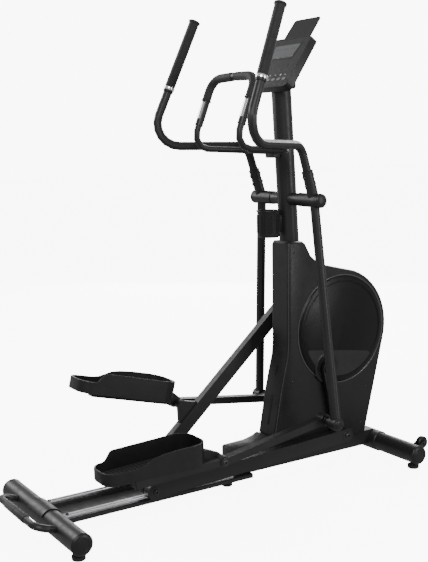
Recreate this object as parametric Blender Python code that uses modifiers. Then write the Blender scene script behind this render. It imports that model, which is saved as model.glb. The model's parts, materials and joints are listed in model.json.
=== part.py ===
"""Front-drive elliptical trainer with rail-guided pedal links, modelled as separate parts.

Metres, +Z up, +Y towards the flywheel end, +X to the right of the person who stands on it.
The origin is on the floor under the middle of the machine's bounding box.
Right-hand parts have side = +1 and left-hand parts side = -1.
"""
from math import acos, asin, atan2, cos, degrees, hypot, pi, radians, sin

import bmesh
import bpy
from mathutils import Euler, Matrix, Vector

# ---- Driving dimensions -----------------------------------------------------------------
GAP = 0.0003                    # clearance between touching parts
REAR_Y = -0.7142                # rear stabiliser's centre line
WHEELBASE = 1.46                # between the two stabilisers
TUBE_R = 0.0375                 # stabilisers and mast
TUBE_WALL = 0.0025
STABILISER_Z = 0.059
STABILISER_HALF = 0.305         # half the length, end caps included
CAP_LENGTH = 0.012

TRAY_HALF = 0.100               # rail tray, half width
TRAY_LEDGE_Z = 0.066
TRAY_RECESS_Z = 0.056
TRAY_FRONT = 0.7970             # from the rear stabiliser
RAIL_X = 0.076
RAIL_HALF = 0.013
RAIL_TOP_Z = 0.0735
RAIL_FRONT = 0.715
BEAM_HALF = 0.040
BEAM_BOTTOM_Z = 0.045
BEAM_TOP_Z = 0.105

WHEEL_X = 0.255
WHEEL_HALF = 0.011
WHEEL_R = 0.025
WHEEL_Y = REAR_Y + WHEELBASE + 0.0575
WHEEL_Z = STABILISER_Z + 0.032

AXLE_Y = REAR_Y + 1.040         # cross axle that carries the swing arms
AXLE_Z = 1.082
AXLE_R = 0.0125
MAST_LEAN = radians(3.4)
MAST_TOP_Z = 1.520

CRANK_Y = REAR_Y + 1.185
CRANK_Z = 0.410
CRANK_RADIUS = 0.275
CRANK_REST = radians(10.5)      # right crank, forward of bottom dead centre
CRANK_ARM = (0.0660, 0.0800)    # X span of the arm
CRANK_PIN_END = 0.0985

LINK_LENGTH = 0.875             # roller axle to crank pin
LINK_X = (0.0993, 0.1303)
LINK_HEIGHT = 0.052
ROLLER_R = 0.026
ROLLER_Z = RAIL_TOP_Z + GAP + ROLLER_R
PIVOT_ALONG = 0.245             # foot link pivot, along the rail link from the roller axle
PIVOT_ABOVE = 0.068             # and above its centre line

FOOT_LINK_LENGTH = 0.470        # foot link pivot to the swing arm's lower joint
FOOT_TUBE = 0.027               # height of the foot link's flat tube
FOOT_X = (0.166, 0.202)
SWING_LENGTH = 0.834            # cross axle to lower joint
SWING_TOP_X = 0.165
SWING_FOOT_X = (0.2353, 0.2753)
SWING_TUBE_R = 0.0175
HUB_X = (0.0820, 0.2050)
HUB_R = 0.026
HANDLE_R = 0.0165
SOCKET_R = 0.0205

HANDLE_CORNERS = ((0.0565, 0.205), (0.412, 0.229), (0.201, 0.683))   # back, up from the axle
HANDLE_X = (0.167, 0.3245, 0.264)
PULSE_Y = REAR_Y + 0.9775
PULSE_CORNERS = ((0.140, PULSE_Y - 0.040, 1.267), (0.140, REAR_Y + 0.7035, 1.279),
                 (0.140, REAR_Y + 0.802, 1.531), (0.010, REAR_Y + 0.807, 1.535))

PEDAL_PITCH = radians(-6.8)     # pedal's sole against the line of the foot link
PEDAL_SIZE = (0.166, 0.392)
PEDAL_TOE = -0.062              # toe end, behind the foot link pivot
PEDAL_X = 0.130
FOOT_BEND = (0.022, -0.003)     # where the foot link's tube bends, along and above its pivots
FOOT_SLOPE = sin(-PEDAL_PITCH) / cos(PEDAL_PITCH)
SOLE_ABOVE = FOOT_BEND[1] + (FOOT_BEND[0] - PEDAL_TOE) * FOOT_SLOPE + FOOT_TUBE / 2 + GAP

CASING_HALF = 0.054
CASING_WALL = 0.003
DISC_Y = REAR_Y + 1.265
DISC_Z = 0.556
DISC_R = 0.215
CASING_R = 0.238

FLYWHEEL_Y = REAR_Y + 1.277
FLYWHEEL_Z = 0.605
FLYWHEEL_R = 0.142
PULLEY_R = 0.135
SMALL_PULLEY_R = 0.0225

PULLEY_X = (-0.0480, -0.0390)
MAGNET_R = FLYWHEEL_R + 0.009
MAGNET_PIVOT = (FLYWHEEL_Y + MAGNET_R * cos(radians(138)), FLYWHEEL_Z + MAGNET_R * sin(radians(138)))

CONSOLE_TILT = radians(56.0)    # face above the horizontal
CONSOLE_SIZE = (0.232, 0.224)
CONSOLE_FOOT = (REAR_Y + 0.948, 1.498)   # lower edge of the face: Y, Z
CONSOLE_THICK = 0.032
BUTTON_X = (-0.048, -0.016, 0.016)
BUTTON_SIZE = (0.020, 0.011)
BUTTON_ALONG = 0.15

SEGMENTS = 24
SMALL_SEGMENTS = 16

BLACK = (0.022, 0.022, 0.024)
CHARCOAL = (0.035, 0.035, 0.038)
RUBBER = (0.015, 0.015, 0.016)
ALUMINIUM = (0.80, 0.80, 0.82)
STEEL = (0.55, 0.55, 0.57)


# ---- Scene and collections --------------------------------------------------------------
def clear_scene():
    for thing in list(bpy.data.objects):
        bpy.data.objects.remove(thing, do_unlink=True)
    for name in ("elliptical_trainer", "cutters"):
        old = bpy.data.collections.get(name)
        if old:
            bpy.data.collections.remove(old)


clear_scene()
PARTS = bpy.data.collections.new("elliptical_trainer")
CUTTERS = bpy.data.collections.new("cutters")
bpy.context.scene.collection.children.link(PARTS)
bpy.context.scene.collection.children.link(CUTTERS)


# ---- Building blocks --------------------------------------------------------------------
def add_object(name, data, cutter=False):
    thing = bpy.data.objects.new(name, data)
    (CUTTERS if cutter else PARTS).objects.link(thing)
    if cutter:
        thing.hide_render = True
        thing.display_type = "WIRE"
    return thing


def finish(thing, colour, roughness=0.5, metallic=0.0, smooth=True):
    """Give a part its own Principled material and smooth shading."""
    material = bpy.data.materials.new(thing.name + "_finish")
    material.use_nodes = True
    shader = material.node_tree.nodes["Principled BSDF"]
    shader.inputs["Base Color"].default_value = (*colour, 1.0)
    shader.inputs["Roughness"].default_value = roughness
    shader.inputs["Metallic"].default_value = metallic
    thing.data.materials.clear()
    thing.data.materials.append(material)
    if smooth and thing.type == "MESH":
        thing.data.shade_smooth()
        thing.data.set_sharp_from_angle(angle=radians(35))
    return thing


def mesh_from(name, bm, cutter=False):
    bmesh.ops.recalc_face_normals(bm, faces=bm.faces)
    mesh = bpy.data.meshes.new(name)
    bm.to_mesh(mesh)
    bm.free()
    return add_object(name, mesh, cutter)


def rod(name, radius, start, end, segments=SEGMENTS, cutter=False):
    """A solid cylinder, or cone frustum, between two points."""
    start, end = Vector(start), Vector(end)
    axis = end - start
    place = Matrix.Translation((start + end) / 2) @ axis.to_track_quat("Z", "Y").to_matrix().to_4x4()
    bm = bmesh.new()
    bmesh.ops.create_cone(bm, cap_ends=True, segments=segments, radius1=radius, radius2=radius,
                          depth=axis.length, matrix=place)
    return mesh_from(name, bm, cutter)


def block(name, low, high, bevel=0.0, cutter=False):
    """A box between two corners with its edges rounded."""
    low, high = Vector(low), Vector(high)
    size = high - low
    bm = bmesh.new()
    bmesh.ops.create_cube(bm, size=1.0,
                          matrix=Matrix.Translation((low + high) / 2) @ Matrix.Diagonal((*size, 1.0)))
    if bevel:
        bmesh.ops.bevel(bm, geom=bm.edges[:], offset=bevel, segments=2, profile=0.5,
                        affect="EDGES")
    return mesh_from(name, bm, cutter)


def turned(name, profile, axis="X", place=(0, 0, 0), segments=SEGMENTS, cutter=False):
    """A closed (radius, along) profile turned round an axis through place."""
    bm = bmesh.new()
    verts = [bm.verts.new((r, 0.0, a)) for r, a in profile]
    for one, two in zip(verts, verts[1:] + verts[:1]):
        if one.co.x > 0 or two.co.x > 0:
            bm.edges.new((one, two))
    mesh = bpy.data.meshes.new(name + "_profile")
    bm.to_mesh(mesh)
    bm.free()
    thing = add_object(name, mesh, cutter=True)
    screw = thing.modifiers.new("Turn", "SCREW")
    screw.steps = screw.render_steps = segments
    screw.use_merge_vertices = True
    screw.merge_threshold = 0.00001
    screw.use_normal_calculate = True
    turn = {"X": Matrix.Rotation(pi / 2, 4, "Y"), "Y": Matrix.Rotation(-pi / 2, 4, "X"),
            "Z": Matrix.Identity(4)}[axis]
    return solid_copy(thing, name, Matrix.Translation(place) @ turn, cutter)


def solid_copy(source, name, matrix=Matrix.Identity(4), cutter=False):
    """Turn an object with modifiers, or a curve, into one welded closed mesh object."""
    bpy.context.view_layer.update()
    evaluated = source.evaluated_get(bpy.context.evaluated_depsgraph_get())
    mesh = bpy.data.meshes.new_from_object(evaluated)
    bpy.data.objects.remove(source, do_unlink=True)
    bm = bmesh.new()
    bm.from_mesh(mesh)
    bpy.data.meshes.remove(mesh)
    bmesh.ops.remove_doubles(bm, verts=bm.verts, dist=0.00001)
    bmesh.ops.transform(bm, matrix=matrix, verts=bm.verts)
    return mesh_from(name, bm, cutter)


def pipe(name, path, radius, sides=3, cutter=False):
    """A round bar along a list of points, made from a bevelled curve."""
    curve = bpy.data.curves.new(name + "_path", "CURVE")
    curve.dimensions = "3D"
    curve.bevel_depth = radius
    curve.bevel_resolution = sides
    curve.use_fill_caps = True
    spline = curve.splines.new("POLY")
    spline.points.add(len(path) - 1)
    for point, place in zip(spline.points, path):
        point.co = (*place, 1.0)
    return solid_copy(add_object(name + "_path", curve, cutter=True), name, cutter=cutter)


def rounded_path(corners, radii, steps=6):
    """A path through corner points with each inner corner replaced by an arc."""
    path = [Vector(corners[0])]
    for before, corner, after, radius in zip(corners, corners[1:], corners[2:], radii):
        corner = Vector(corner)
        back = (Vector(before) - corner).normalized()
        ahead = (Vector(after) - corner).normalized()
        half = back.angle(ahead) / 2
        centre = corner + (back + ahead).normalized() * radius / sin(half)
        first = corner + back * radius / (sin(half) / cos(half)) - centre
        last = corner + ahead * radius / (sin(half) / cos(half)) - centre
        sweep = first.angle(last)
        for step in range(steps + 1):
            part = step / steps
            path.append(centre + (first * sin((1 - part) * sweep) + last * sin(part * sweep)) / sin(sweep))
    path.append(Vector(corners[-1]))
    return path


def arc(centre, radius, start, end, steps):
    """Points on an arc in a plane, angles in degrees from its first axis."""
    return [(centre[0] + radius * cos(radians(start + (end - start) * k / steps)),
             centre[1] + radius * sin(radians(start + (end - start) * k / steps)))
            for k in range(steps + 1)]


def plate(name, outline, low, high, axis="X", cutter=False):
    """A flat outline with thickness: (Y, Z) points along X, or (X, Z) points along Y."""
    curve = bpy.data.curves.new(name + "_outline", "CURVE")
    curve.dimensions = "2D"
    curve.fill_mode = "BOTH"
    curve.extrude = (high - low) / 2
    spline = curve.splines.new("POLY")
    spline.use_cyclic_u = True
    spline.points.add(len(outline) - 1)
    for point, place in zip(spline.points, outline):
        point.co = (*place, 0.0, 1.0)
    middle = (low + high) / 2
    if axis == "X":
        stand = Matrix(((0, 0, 1, middle), (1, 0, 0, 0), (0, 1, 0, 0), (0, 0, 0, 1)))
    elif axis == "Y":
        stand = Matrix(((1, 0, 0, 0), (0, 0, 1, middle), (0, 1, 0, 0), (0, 0, 0, 1)))
    else:
        stand = Matrix.Translation((0, 0, middle))
    thing = solid_copy(add_object(name + "_outline", curve, cutter=True), name, stand, cutter)
    bm = bmesh.new()
    bm.from_mesh(thing.data)
    bmesh.ops.dissolve_limit(bm, angle_limit=0.001, verts=bm.verts, edges=bm.edges)
    bm.to_mesh(thing.data)
    bm.free()
    return thing


def rounded_rectangle(width, height, radius, steps=3):
    x, y = width / 2 - radius, height / 2 - radius
    return (arc((x, y), radius, 0, 90, steps) + arc((-x, y), radius, 90, 180, steps)
            + arc((-x, -y), radius, 180, 270, steps) + arc((x, -y), radius, 270, 360, steps))


def boolean(thing, operation, *others):
    for other in others:
        step = thing.modifiers.new(operation.title(), "BOOLEAN")
        step.operation = operation
        step.solver = "EXACT"
        step.object = other
    return thing


def join(thing, *others):
    return boolean(thing, "UNION", *others)


def cut(thing, *others):
    return boolean(thing, "DIFFERENCE", *others)


def pivot(thing, place, angle=0.0, *riders):
    """Put a part that was modelled round its joint at the joint, turned about X."""
    for item in (thing, *riders):
        item.location = place
        item.rotation_euler = Euler((angle, 0.0, 0.0))
    return thing


def span(side, pair):
    """An X span mirrored to one side, low value first."""
    return tuple(sorted((side * pair[0], side * pair[1])))


SIDES = (("right", 1), ("left", -1))


# ---- Linkage: one crank angle places every link -----------------------------------------
def circle_meet(first, first_radius, second, second_radius):
    """The forward and lower meeting point of two circles in the Y-Z plane."""
    dy, dz = second[0] - first[0], second[1] - first[1]
    apart = hypot(dy, dz)
    along = (first_radius ** 2 - second_radius ** 2 + apart ** 2) / (2 * apart)
    aside = (first_radius ** 2 - along ** 2) ** 0.5
    return (first[0] + (dy * along + dz * aside) / apart, first[1] + (dz * along - dy * aside) / apart)


def linkage(crank_angle):
    """Joint places and angles of one side; the crank angle is forward of bottom dead centre."""
    pin = (CRANK_Y + CRANK_RADIUS * sin(crank_angle), CRANK_Z - CRANK_RADIUS * cos(crank_angle))
    tilt = asin((pin[1] - ROLLER_Z) / LINK_LENGTH)
    roller = (pin[0] - LINK_LENGTH * cos(tilt), ROLLER_Z)
    foot_pivot = (roller[0] + PIVOT_ALONG * cos(tilt) - PIVOT_ABOVE * sin(tilt),
                  roller[1] + PIVOT_ALONG * sin(tilt) + PIVOT_ABOVE * cos(tilt))
    lower = circle_meet(foot_pivot, FOOT_LINK_LENGTH, (AXLE_Y, AXLE_Z), SWING_LENGTH)
    return {"pin": pin, "tilt": tilt, "roller": roller, "foot_pivot": foot_pivot, "lower": lower,
            "foot_angle": atan2(lower[1] - foot_pivot[1], lower[0] - foot_pivot[0]),
            "swing": atan2(lower[0] - AXLE_Y, AXLE_Z - lower[1])}


def rest_linkage(side):
    return linkage(CRANK_REST if side > 0 else CRANK_REST + pi)


def mast_y(height):
    """Y of the mast's centre line at a height."""
    return AXLE_Y - (height - AXLE_Z) * sin(MAST_LEAN) / cos(MAST_LEAN)


# ---- Base frame -------------------------------------------------------------------------
def tube_profile(outer, wall, half):
    return [(outer, half), (outer, -half), (outer - wall, -half), (outer - wall, half)]


def stabilisers():
    half = STABILISER_HALF - CAP_LENGTH
    rear = turned("rear_stabiliser", tube_profile(TUBE_R, TUBE_WALL, half),
                  place=(0, REAR_Y, STABILISER_Z))
    finish(rear, BLACK, 0.4)
    collar, reach = TUBE_R + 0.0035, 0.080
    inner = TUBE_R - TUBE_WALL
    profile = [(TUBE_R, half), (TUBE_R, reach), (collar, reach - 0.003), (collar, 0.003 - reach),
               (TUBE_R, -reach), (TUBE_R, -half), (inner, -half), (inner, half)]
    front_y = REAR_Y + WHEELBASE
    front = turned("front_stabiliser", profile, place=(0, front_y, STABILISER_Z))
    for name, side in SIDES:
        x = side * WHEEL_X
        for lean in (-1, 1):
            cheek = x + lean * (WHEEL_HALF + 0.004)
            tab = plate(f"wheel_tab_{name}_{lean}", wheel_tab_outline(), cheek - 0.002, cheek + 0.002,
                        cutter=True)
            join(front, tab)
    finish(front, BLACK, 0.4)


def wheel_tab_outline():
    """A lug from the tube's wall out to the wheel's axle."""
    angle = atan2(WHEEL_Z - STABILISER_Z, WHEEL_Y - REAR_Y - WHEELBASE)
    root = TUBE_R - 0.001
    base = (REAR_Y + WHEELBASE, STABILISER_Z)
    low = (base[0] + root * cos(angle - 0.30), base[1] + root * sin(angle - 0.30))
    high = (base[0] + root * cos(angle + 0.30), base[1] + root * sin(angle + 0.30))
    return [low] + arc((WHEEL_Y, WHEEL_Z), 0.011, degrees(angle) - 90, degrees(angle) + 90, 8) + [high]


def transport_wheels():
    for name, side in SIDES:
        x = side * WHEEL_X
        half = WHEEL_HALF
        profile = [(WHEEL_R, half - 0.004), (WHEEL_R, 0.004 - half), (WHEEL_R - 0.003, -half),
                   (0.009, -half), (0.009, -half - 0.0015), (0, -half - 0.0015),
                   (0, half + 0.0015), (0.009, half + 0.0015), (0.009, half), (WHEEL_R - 0.003, half)]
        wheel = turned(f"transport_wheel_{name}", profile, segments=20)
        wheel.location = (x, WHEEL_Y, WHEEL_Z)
        finish(wheel, RUBBER, 0.6)


def stabiliser_caps():
    for end, y in (("rear", REAR_Y), ("front", REAR_Y + WHEELBASE)):
        for name, side in SIDES:
            inside = STABILISER_HALF - CAP_LENGTH + GAP
            out = STABILISER_HALF
            plug = TUBE_R - TUBE_WALL - GAP
            profile = [(0, out), (TUBE_R - 0.010, out), (TUBE_R - 0.003, out - 0.003),
                       (TUBE_R + 0.001, out - 0.008), (TUBE_R + 0.001, inside), (plug, inside),
                       (plug, inside - 0.015), (0, inside - 0.015)]
            profile = [(r, side * a) for r, a in profile]
            cap = turned(f"{end}_cap_{name}", profile, place=(0, y, STABILISER_Z))
            finish(cap, RUBBER, 0.55)


def feet():
    for end, y in (("rear", REAR_Y), ("front", REAR_Y + WHEELBASE)):
        saddle = rod(f"{end}_saddle", TUBE_R + GAP, (-0.4, y, STABILISER_Z), (0.4, y, STABILISER_Z),
                     cutter=True)
        for name, side in SIDES:
            profile = [(0, 0.036), (0.014, 0.036), (0.014, 0.019), (0.023, 0.015), (0.023, 0.003),
                       (0.020, 0), (0, 0)]
            foot = turned(f"{end}_foot_{name}", profile, "Z", (side * 0.268, y, 0), 20)
            cut(foot, saddle)
            finish(foot, RUBBER, 0.7)
    top = TRAY_RECESS_Z - 0.004 - GAP
    profile = [(0, top), (0.007, top), (0.007, 0.016), (0.020, 0.013), (0.020, 0.002), (0.018, 0), (0, 0)]
    finish(turned("middle_foot", profile, "Z", (0, REAR_Y + 0.745, 0), 20), RUBBER, 0.7)


def rail_tray():
    """Folded steel channel under the rails, with a strap over the rear stabiliser."""
    skin, ledge, lip = 0.004, 0.054, 0.050
    top, recess = TRAY_LEDGE_Z, TRAY_RECESS_Z
    right = [(TRAY_HALF, lip), (TRAY_HALF, top - 0.003), (TRAY_HALF - 0.003, top), (ledge, top),
             (ledge - 0.006, recess)]
    under = [(ledge - 0.009, recess - skin), (ledge + 0.002, top - skin),
             (TRAY_HALF - skin, top - skin), (TRAY_HALF - skin, lip)]
    upper = right + [(-x, z) for x, z in reversed(right)]
    lower = [(-x, z) for x, z in reversed(under)] + under
    tray = plate("rail_tray", upper + lower, REAR_Y, REAR_Y + TRAY_FRONT, "Y")
    saddle = rod("tray_saddle", TUBE_R + GAP, (-0.2, REAR_Y, STABILISER_Z), (0.2, REAR_Y, STABILISER_Z),
                 cutter=True)
    centre = (REAR_Y, STABILISER_Z)
    band = arc(centre, TUBE_R + GAP + 0.004, -5, 150, 16) + arc(centre, TUBE_R + GAP, 150, -5, 16)
    strap = plate("tray_strap", band, -0.060, 0.060, cutter=True)
    join(cut(tray, saddle), strap)
    finish(tray, BLACK, 0.4)


def rails():
    for name, side in SIDES:
        low, top, half = TRAY_LEDGE_Z + GAP, RAIL_TOP_Z, RAIL_HALF
        profile = [(-half, low), (half, low), (half, top - 0.0012), (half - 0.0012, top),
                   (0.0045, top), (0.0035, top - 0.0025), (-0.0035, top - 0.0025), (-0.0045, top),
                   (0.0012 - half, top), (-half, top - 0.0012)]
        profile = [(x + side * RAIL_X, z) for x, z in profile]
        rail = plate(f"rail_{name}", profile, REAR_Y + 0.0385, REAR_Y + RAIL_FRONT, "Y")
        finish(rail, ALUMINIUM, 0.25, 1.0)


def main_beam():
    """Box tube from the rail tray to the front stabiliser."""
    start, end = REAR_Y + TRAY_FRONT + GAP, REAR_Y + WHEELBASE
    beam = block("main_beam", (-BEAM_HALF, start, BEAM_BOTTOM_Z), (BEAM_HALF, end, BEAM_TOP_Z), 0.003)
    wall = 0.003
    hollow = block("beam_hollow", (wall - BEAM_HALF, start - 0.01, BEAM_BOTTOM_Z + wall),
                   (BEAM_HALF - wall, end + 0.01, BEAM_TOP_Z - wall), cutter=True)
    saddle = rod("beam_saddle", TUBE_R + 0.0035 + GAP, (-0.2, end, STABILISER_Z), (0.2, end, STABILISER_Z),
                 cutter=True)
    finish(cut(beam, hollow, saddle), BLACK, 0.4)


def lift_handle():
    root, back, out, height = 0.0378, 0.100, 0.165, 0.094
    corners = [(out, REAR_Y - root, STABILISER_Z + 0.012), (out, REAR_Y - 0.056, 0.080),
               (out, REAR_Y - back, height), (-out, REAR_Y - back, height),
               (-out, REAR_Y - 0.056, 0.080), (-out, REAR_Y - root, STABILISER_Z + 0.012)]
    path = rounded_path(corners, (0.008, 0.036, 0.036, 0.008), 5)
    path[0].y += 0.006
    path[-1].y += 0.006
    handle = pipe("lift_handle", path, 0.0125)
    saddle = rod("handle_saddle", TUBE_R + GAP, (-0.3, REAR_Y, STABILISER_Z), (0.3, REAR_Y, STABILISER_Z),
                 cutter=True)
    finish(cut(handle, saddle), BLACK, 0.4)
    half, inner, outer = 0.085, 0.0125 + GAP, 0.0142
    profile = [(outer, half - 0.002), (outer, 0.002 - half), (outer - 0.001, -half), (inner, -half),
               (inner, half), (outer - 0.001, half)]
    grip = turned("lift_grip", profile, place=(0, REAR_Y - back, height), segments=20)
    finish(grip, RUBBER, 0.7)


# ---- Mast -------------------------------------------------------------------------------
def mast():
    low, high = BEAM_TOP_Z + 0.004, MAST_TOP_Z
    bottom, top = Vector((0, mast_y(low), low)), Vector((0, mast_y(high), high))
    middle, half = (bottom + top) / 2, (top - bottom).length / 2
    tube = turned("mast", tube_profile(TUBE_R, TUBE_WALL, half), "Z")
    tube.location = middle
    tube.rotation_euler = Euler((MAST_LEAN, 0, 0))
    sleeve = rod("mast_sleeve", 0.024, (-0.0817, AXLE_Y, AXLE_Z), (0.0817, AXLE_Y, AXLE_Z), cutter=True)
    bore = rod("mast_bore", AXLE_R + GAP, (-0.1, AXLE_Y, AXLE_Z), (0.1, AXLE_Y, AXLE_Z), cutter=True)
    saddle = block("pulse_saddle", (-0.024, PULSE_Y - 0.022, 1.238), (0.024, mast_y(1.262) - 0.0365, 1.286),
                   0.004, cutter=True)
    bar_room = pipe("saddle_bar_room", pulse_path(), 0.0125 + GAP, cutter=True)
    finish(cut(join(tube, sleeve, saddle), bore, bar_room), BLACK, 0.38)
    axle = rod("cross_axle", AXLE_R, (-0.200, AXLE_Y, AXLE_Z), (0.200, AXLE_Y, AXLE_Z), 24)
    finish(axle, STEEL, 0.3, 1.0)


def bottle_holder():
    y, low, high, outer, wall = REAR_Y + 0.952, 0.940, 1.042, 0.043, 0.003
    profile = [(0, low), (outer - 0.006, low), (outer - 0.001, low + 0.006), (outer, high - 0.008),
               (outer + 0.003, high - 0.002), (outer + 0.002, high), (outer - wall, high),
               (outer - wall - 0.002, low + wall), (0, low + wall)]
    cup = turned("bottle_holder", profile, "Z", (0, y, 0))
    tab = block("holder_tab", (-0.010, y + outer - 0.0023, 0.958), (0.010, y + 0.066, 1.020), cutter=True)
    bore = rod("holder_mast_room", TUBE_R + GAP, (0, mast_y(0.9), 0.9), (0, mast_y(1.1), 1.1),
               cutter=True)
    finish(cut(join(cup, tab), bore), CHARCOAL, 0.35)


# ---- Swing arms and handlebars ----------------------------------------------------------


def handle_points(side):
    """The handlebar's centre line round the cross axle, from the socket to the top."""
    socket = Vector((side * HANDLE_X[0], -HANDLE_CORNERS[0][0], HANDLE_CORNERS[0][1]))
    start = Vector((side * SWING_TOP_X, 0, 0)).lerp(socket, 0.16)
    return [start, socket] + [Vector((side * x, -back, up))
                              for x, (back, up) in zip(HANDLE_X[1:], HANDLE_CORNERS[1:])]


def swing_arms():
    for name, side in SIDES:
        points = handle_points(side)
        axis = Vector((side * SWING_TOP_X, 0, 0))
        upward = (points[1] - axis).normalized()
        low, high = span(side, HUB_X)
        arm = rod(f"swing_arm_{name}", HUB_R, (low, 0, 0), (high, 0, 0))
        foot = (side * sum(SWING_FOOT_X) / 2, 0, -SWING_LENGTH)
        tube = rod(f"arm_tube_{name}", SWING_TUBE_R, axis, foot, 16, cutter=True)
        low, high = span(side, SWING_FOOT_X)
        boss = rod(f"arm_boss_{name}", 0.024, (low, 0, -SWING_LENGTH), (high, 0, -SWING_LENGTH), 20,
                   cutter=True)
        socket = rod(f"arm_socket_{name}", SOCKET_R, axis, axis + upward * 0.112, 16, cutter=True)
        seat = rod(f"arm_seat_{name}", HANDLE_R + GAP, axis + upward * 0.0340, axis + upward * 0.2, 20,
                   cutter=True)
        bore = rod(f"arm_bore_{name}", AXLE_R + GAP, (-0.3, 0, 0), (0.3, 0, 0), 20, cutter=True)
        room = rod(f"arm_room_{name}", HUB_R + 0.002, (side * 0.2052, 0, 0), (side * 0.3, 0, 0),
                   cutter=True)
        cut(join(arm, tube, boss, socket), seat, bore, room)
        pivot(arm, (0, AXLE_Y, AXLE_Z), rest_linkage(side)["swing"], tube, boss, socket, seat, bore, room)
        finish(arm, BLACK, 0.4)


def handlebars():
    for name, side in SIDES:
        place, angle = (0, AXLE_Y, AXLE_Z), rest_linkage(side)["swing"]
        corners = handle_points(side)
        path = rounded_path(corners, (0.055, 0.085), 6)
        bar = pipe(f"handlebar_{name}", path, HANDLE_R)
        finish(pivot(bar, place, angle), BLACK, 0.4)
        top, bend = corners[3], corners[2]
        down = (bend - top).normalized()
        inner, outer, length = HANDLE_R + GAP, 0.0195, 0.262
        profile = [(0, 0.0055), (0.018, 0.0055), (0.0225, 0.003), (0.0225, -0.003), (outer, -0.006),
                   (outer, -length + 0.002), (outer - 0.001, -length), (inner, -length),
                   (inner, -0.0004), (inner, GAP), (0, GAP)]
        grip = turned(f"handlebar_grip_{name}", profile, "Z", segments=20)
        lay = Matrix.Translation(top) @ (-down).to_track_quat("Z", "Y").to_matrix().to_4x4()
        grip.data.transform(lay)
        finish(pivot(grip, place, angle), RUBBER, 0.6)


def pulse_path():
    """Centre line of the whole inner handlebar, from the left end to the right."""
    left = [(-x, y, z) for x, y, z in reversed(PULSE_CORNERS)]
    corners = left + [(0, PULSE_Y, 1.262)] + list(PULSE_CORNERS)
    return rounded_path(corners, (0.05, 0.05, 0.035, 0.30, 0.035, 0.05, 0.05), 3)


def pulse_bar():
    """Fixed inner handlebar with hand-pulse sensors, bent from one tube."""
    finish(pipe("pulse_bar", pulse_path(), 0.0125), BLACK, 0.4)
    for name, side in SIDES:
        grip_half = [(side * x, y, z) for x, y, z in PULSE_CORNERS]
        low = Vector(grip_half[1]).lerp(Vector(grip_half[2]), 0.70)
        route = rounded_path([low, grip_half[2], grip_half[3]], (0.05,), 4)
        route[-1].x = side * 0.0107
        sleeve = pipe(f"pulse_grip_{name}", route, 0.0165)
        bore = pipe(f"pulse_bore_{name}", pulse_path(), 0.0125 + GAP, cutter=True)
        finish(cut(sleeve, bore), RUBBER, 0.65)


# ---- Drive ------------------------------------------------------------------------------
def drive_frame():
    """Upright plate on the beam with the crank's and the flywheel's bearing tubes."""
    foot = BEAM_TOP_Z + GAP
    outline = [(REAR_Y + 1.135, foot), (REAR_Y + 1.36, foot), (REAR_Y + 1.34, 0.20),
               (REAR_Y + 1.245, 0.40), (FLYWHEEL_Y + 0.028, FLYWHEEL_Z - 0.01),
               (FLYWHEEL_Y + 0.016, FLYWHEEL_Z + 0.024), (FLYWHEEL_Y - 0.018, FLYWHEEL_Z + 0.024),
               (CRANK_Y - 0.030, CRANK_Z + 0.03), (REAR_Y + 1.15, 0.30)]
    frame = plate("drive_frame", outline, -0.003, 0.003)
    crank_tube = rod("crank_tube", 0.026, (-0.032, CRANK_Y, CRANK_Z), (0.045, CRANK_Y, CRANK_Z),
                     cutter=True)
    wheel_tube = rod("wheel_tube", 0.016, (-0.032, FLYWHEEL_Y, FLYWHEEL_Z), (0.008, FLYWHEEL_Y, FLYWHEEL_Z),
                     24, cutter=True)
    crank_bore = rod("crank_bore", AXLE_R + GAP, (-0.1, CRANK_Y, CRANK_Z), (0.1, CRANK_Y, CRANK_Z), 24,
                     cutter=True)
    wheel_bore = rod("wheel_bore", 0.0083, (-0.1, FLYWHEEL_Y, FLYWHEEL_Z), (0.1, FLYWHEEL_Y, FLYWHEEL_Z),
                     20, cutter=True)
    base = block("frame_base", (-0.034, REAR_Y + 1.13, foot), (0.034, REAR_Y + 1.365, foot + 0.005),
                 cutter=True)
    finish(cut(join(frame, crank_tube, wheel_tube, base), crank_bore, wheel_bore), BLACK, 0.5)


def drive_pulley():
    low, high = PULLEY_X
    profile = [(PULLEY_R, high), (PULLEY_R - 0.0015, (low + high) / 2), (PULLEY_R, low),
               (PULLEY_R - 0.008, low), (PULLEY_R - 0.010, low + 0.003), (0.034, low + 0.003),
               (0.030, low), (AXLE_R + GAP, low), (AXLE_R + GAP, high + 0.005), (0.026, high + 0.005),
               (0.030, high - 0.003), (PULLEY_R - 0.010, high - 0.003), (PULLEY_R - 0.008, high)]
    profile = list(reversed(profile))
    pulley = turned("drive_pulley", profile)
    finish(pivot(pulley, (0, CRANK_Y, CRANK_Z)), CHARCOAL, 0.5)
    axle = rod("crank_axle", AXLE_R, (-0.0850, 0, 0), (0.0850, 0, 0), 24)
    finish(pivot(axle, (0, CRANK_Y, CRANK_Z)), STEEL, 0.3, 1.0)


def flywheel():
    """Cast flywheel with its axle and the small belt pulley."""
    low, high = PULLEY_X
    face, back = 0.0120, 0.0400
    profile = [(0, back + 0.002), (0.008, back + 0.002), (0.020, back), (0.024, back - 0.006),
               (FLYWHEEL_R - 0.026, back - 0.006), (FLYWHEEL_R - 0.022, back), (FLYWHEEL_R, back),
               (FLYWHEEL_R, face), (FLYWHEEL_R - 0.022, face), (FLYWHEEL_R - 0.026, face + 0.006),
               (0.024, face + 0.006), (0.020, face), (0.008, face - 0.002), (0.008, -0.036),
               (SMALL_PULLEY_R, high), (SMALL_PULLEY_R, low), (0.006, low), (0.006, low - 0.002),
               (0, low - 0.002)]
    wheel = turned("flywheel", profile)
    finish(pivot(wheel, (0, FLYWHEEL_Y, FLYWHEEL_Z)), STEEL, 0.35, 1.0)


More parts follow.
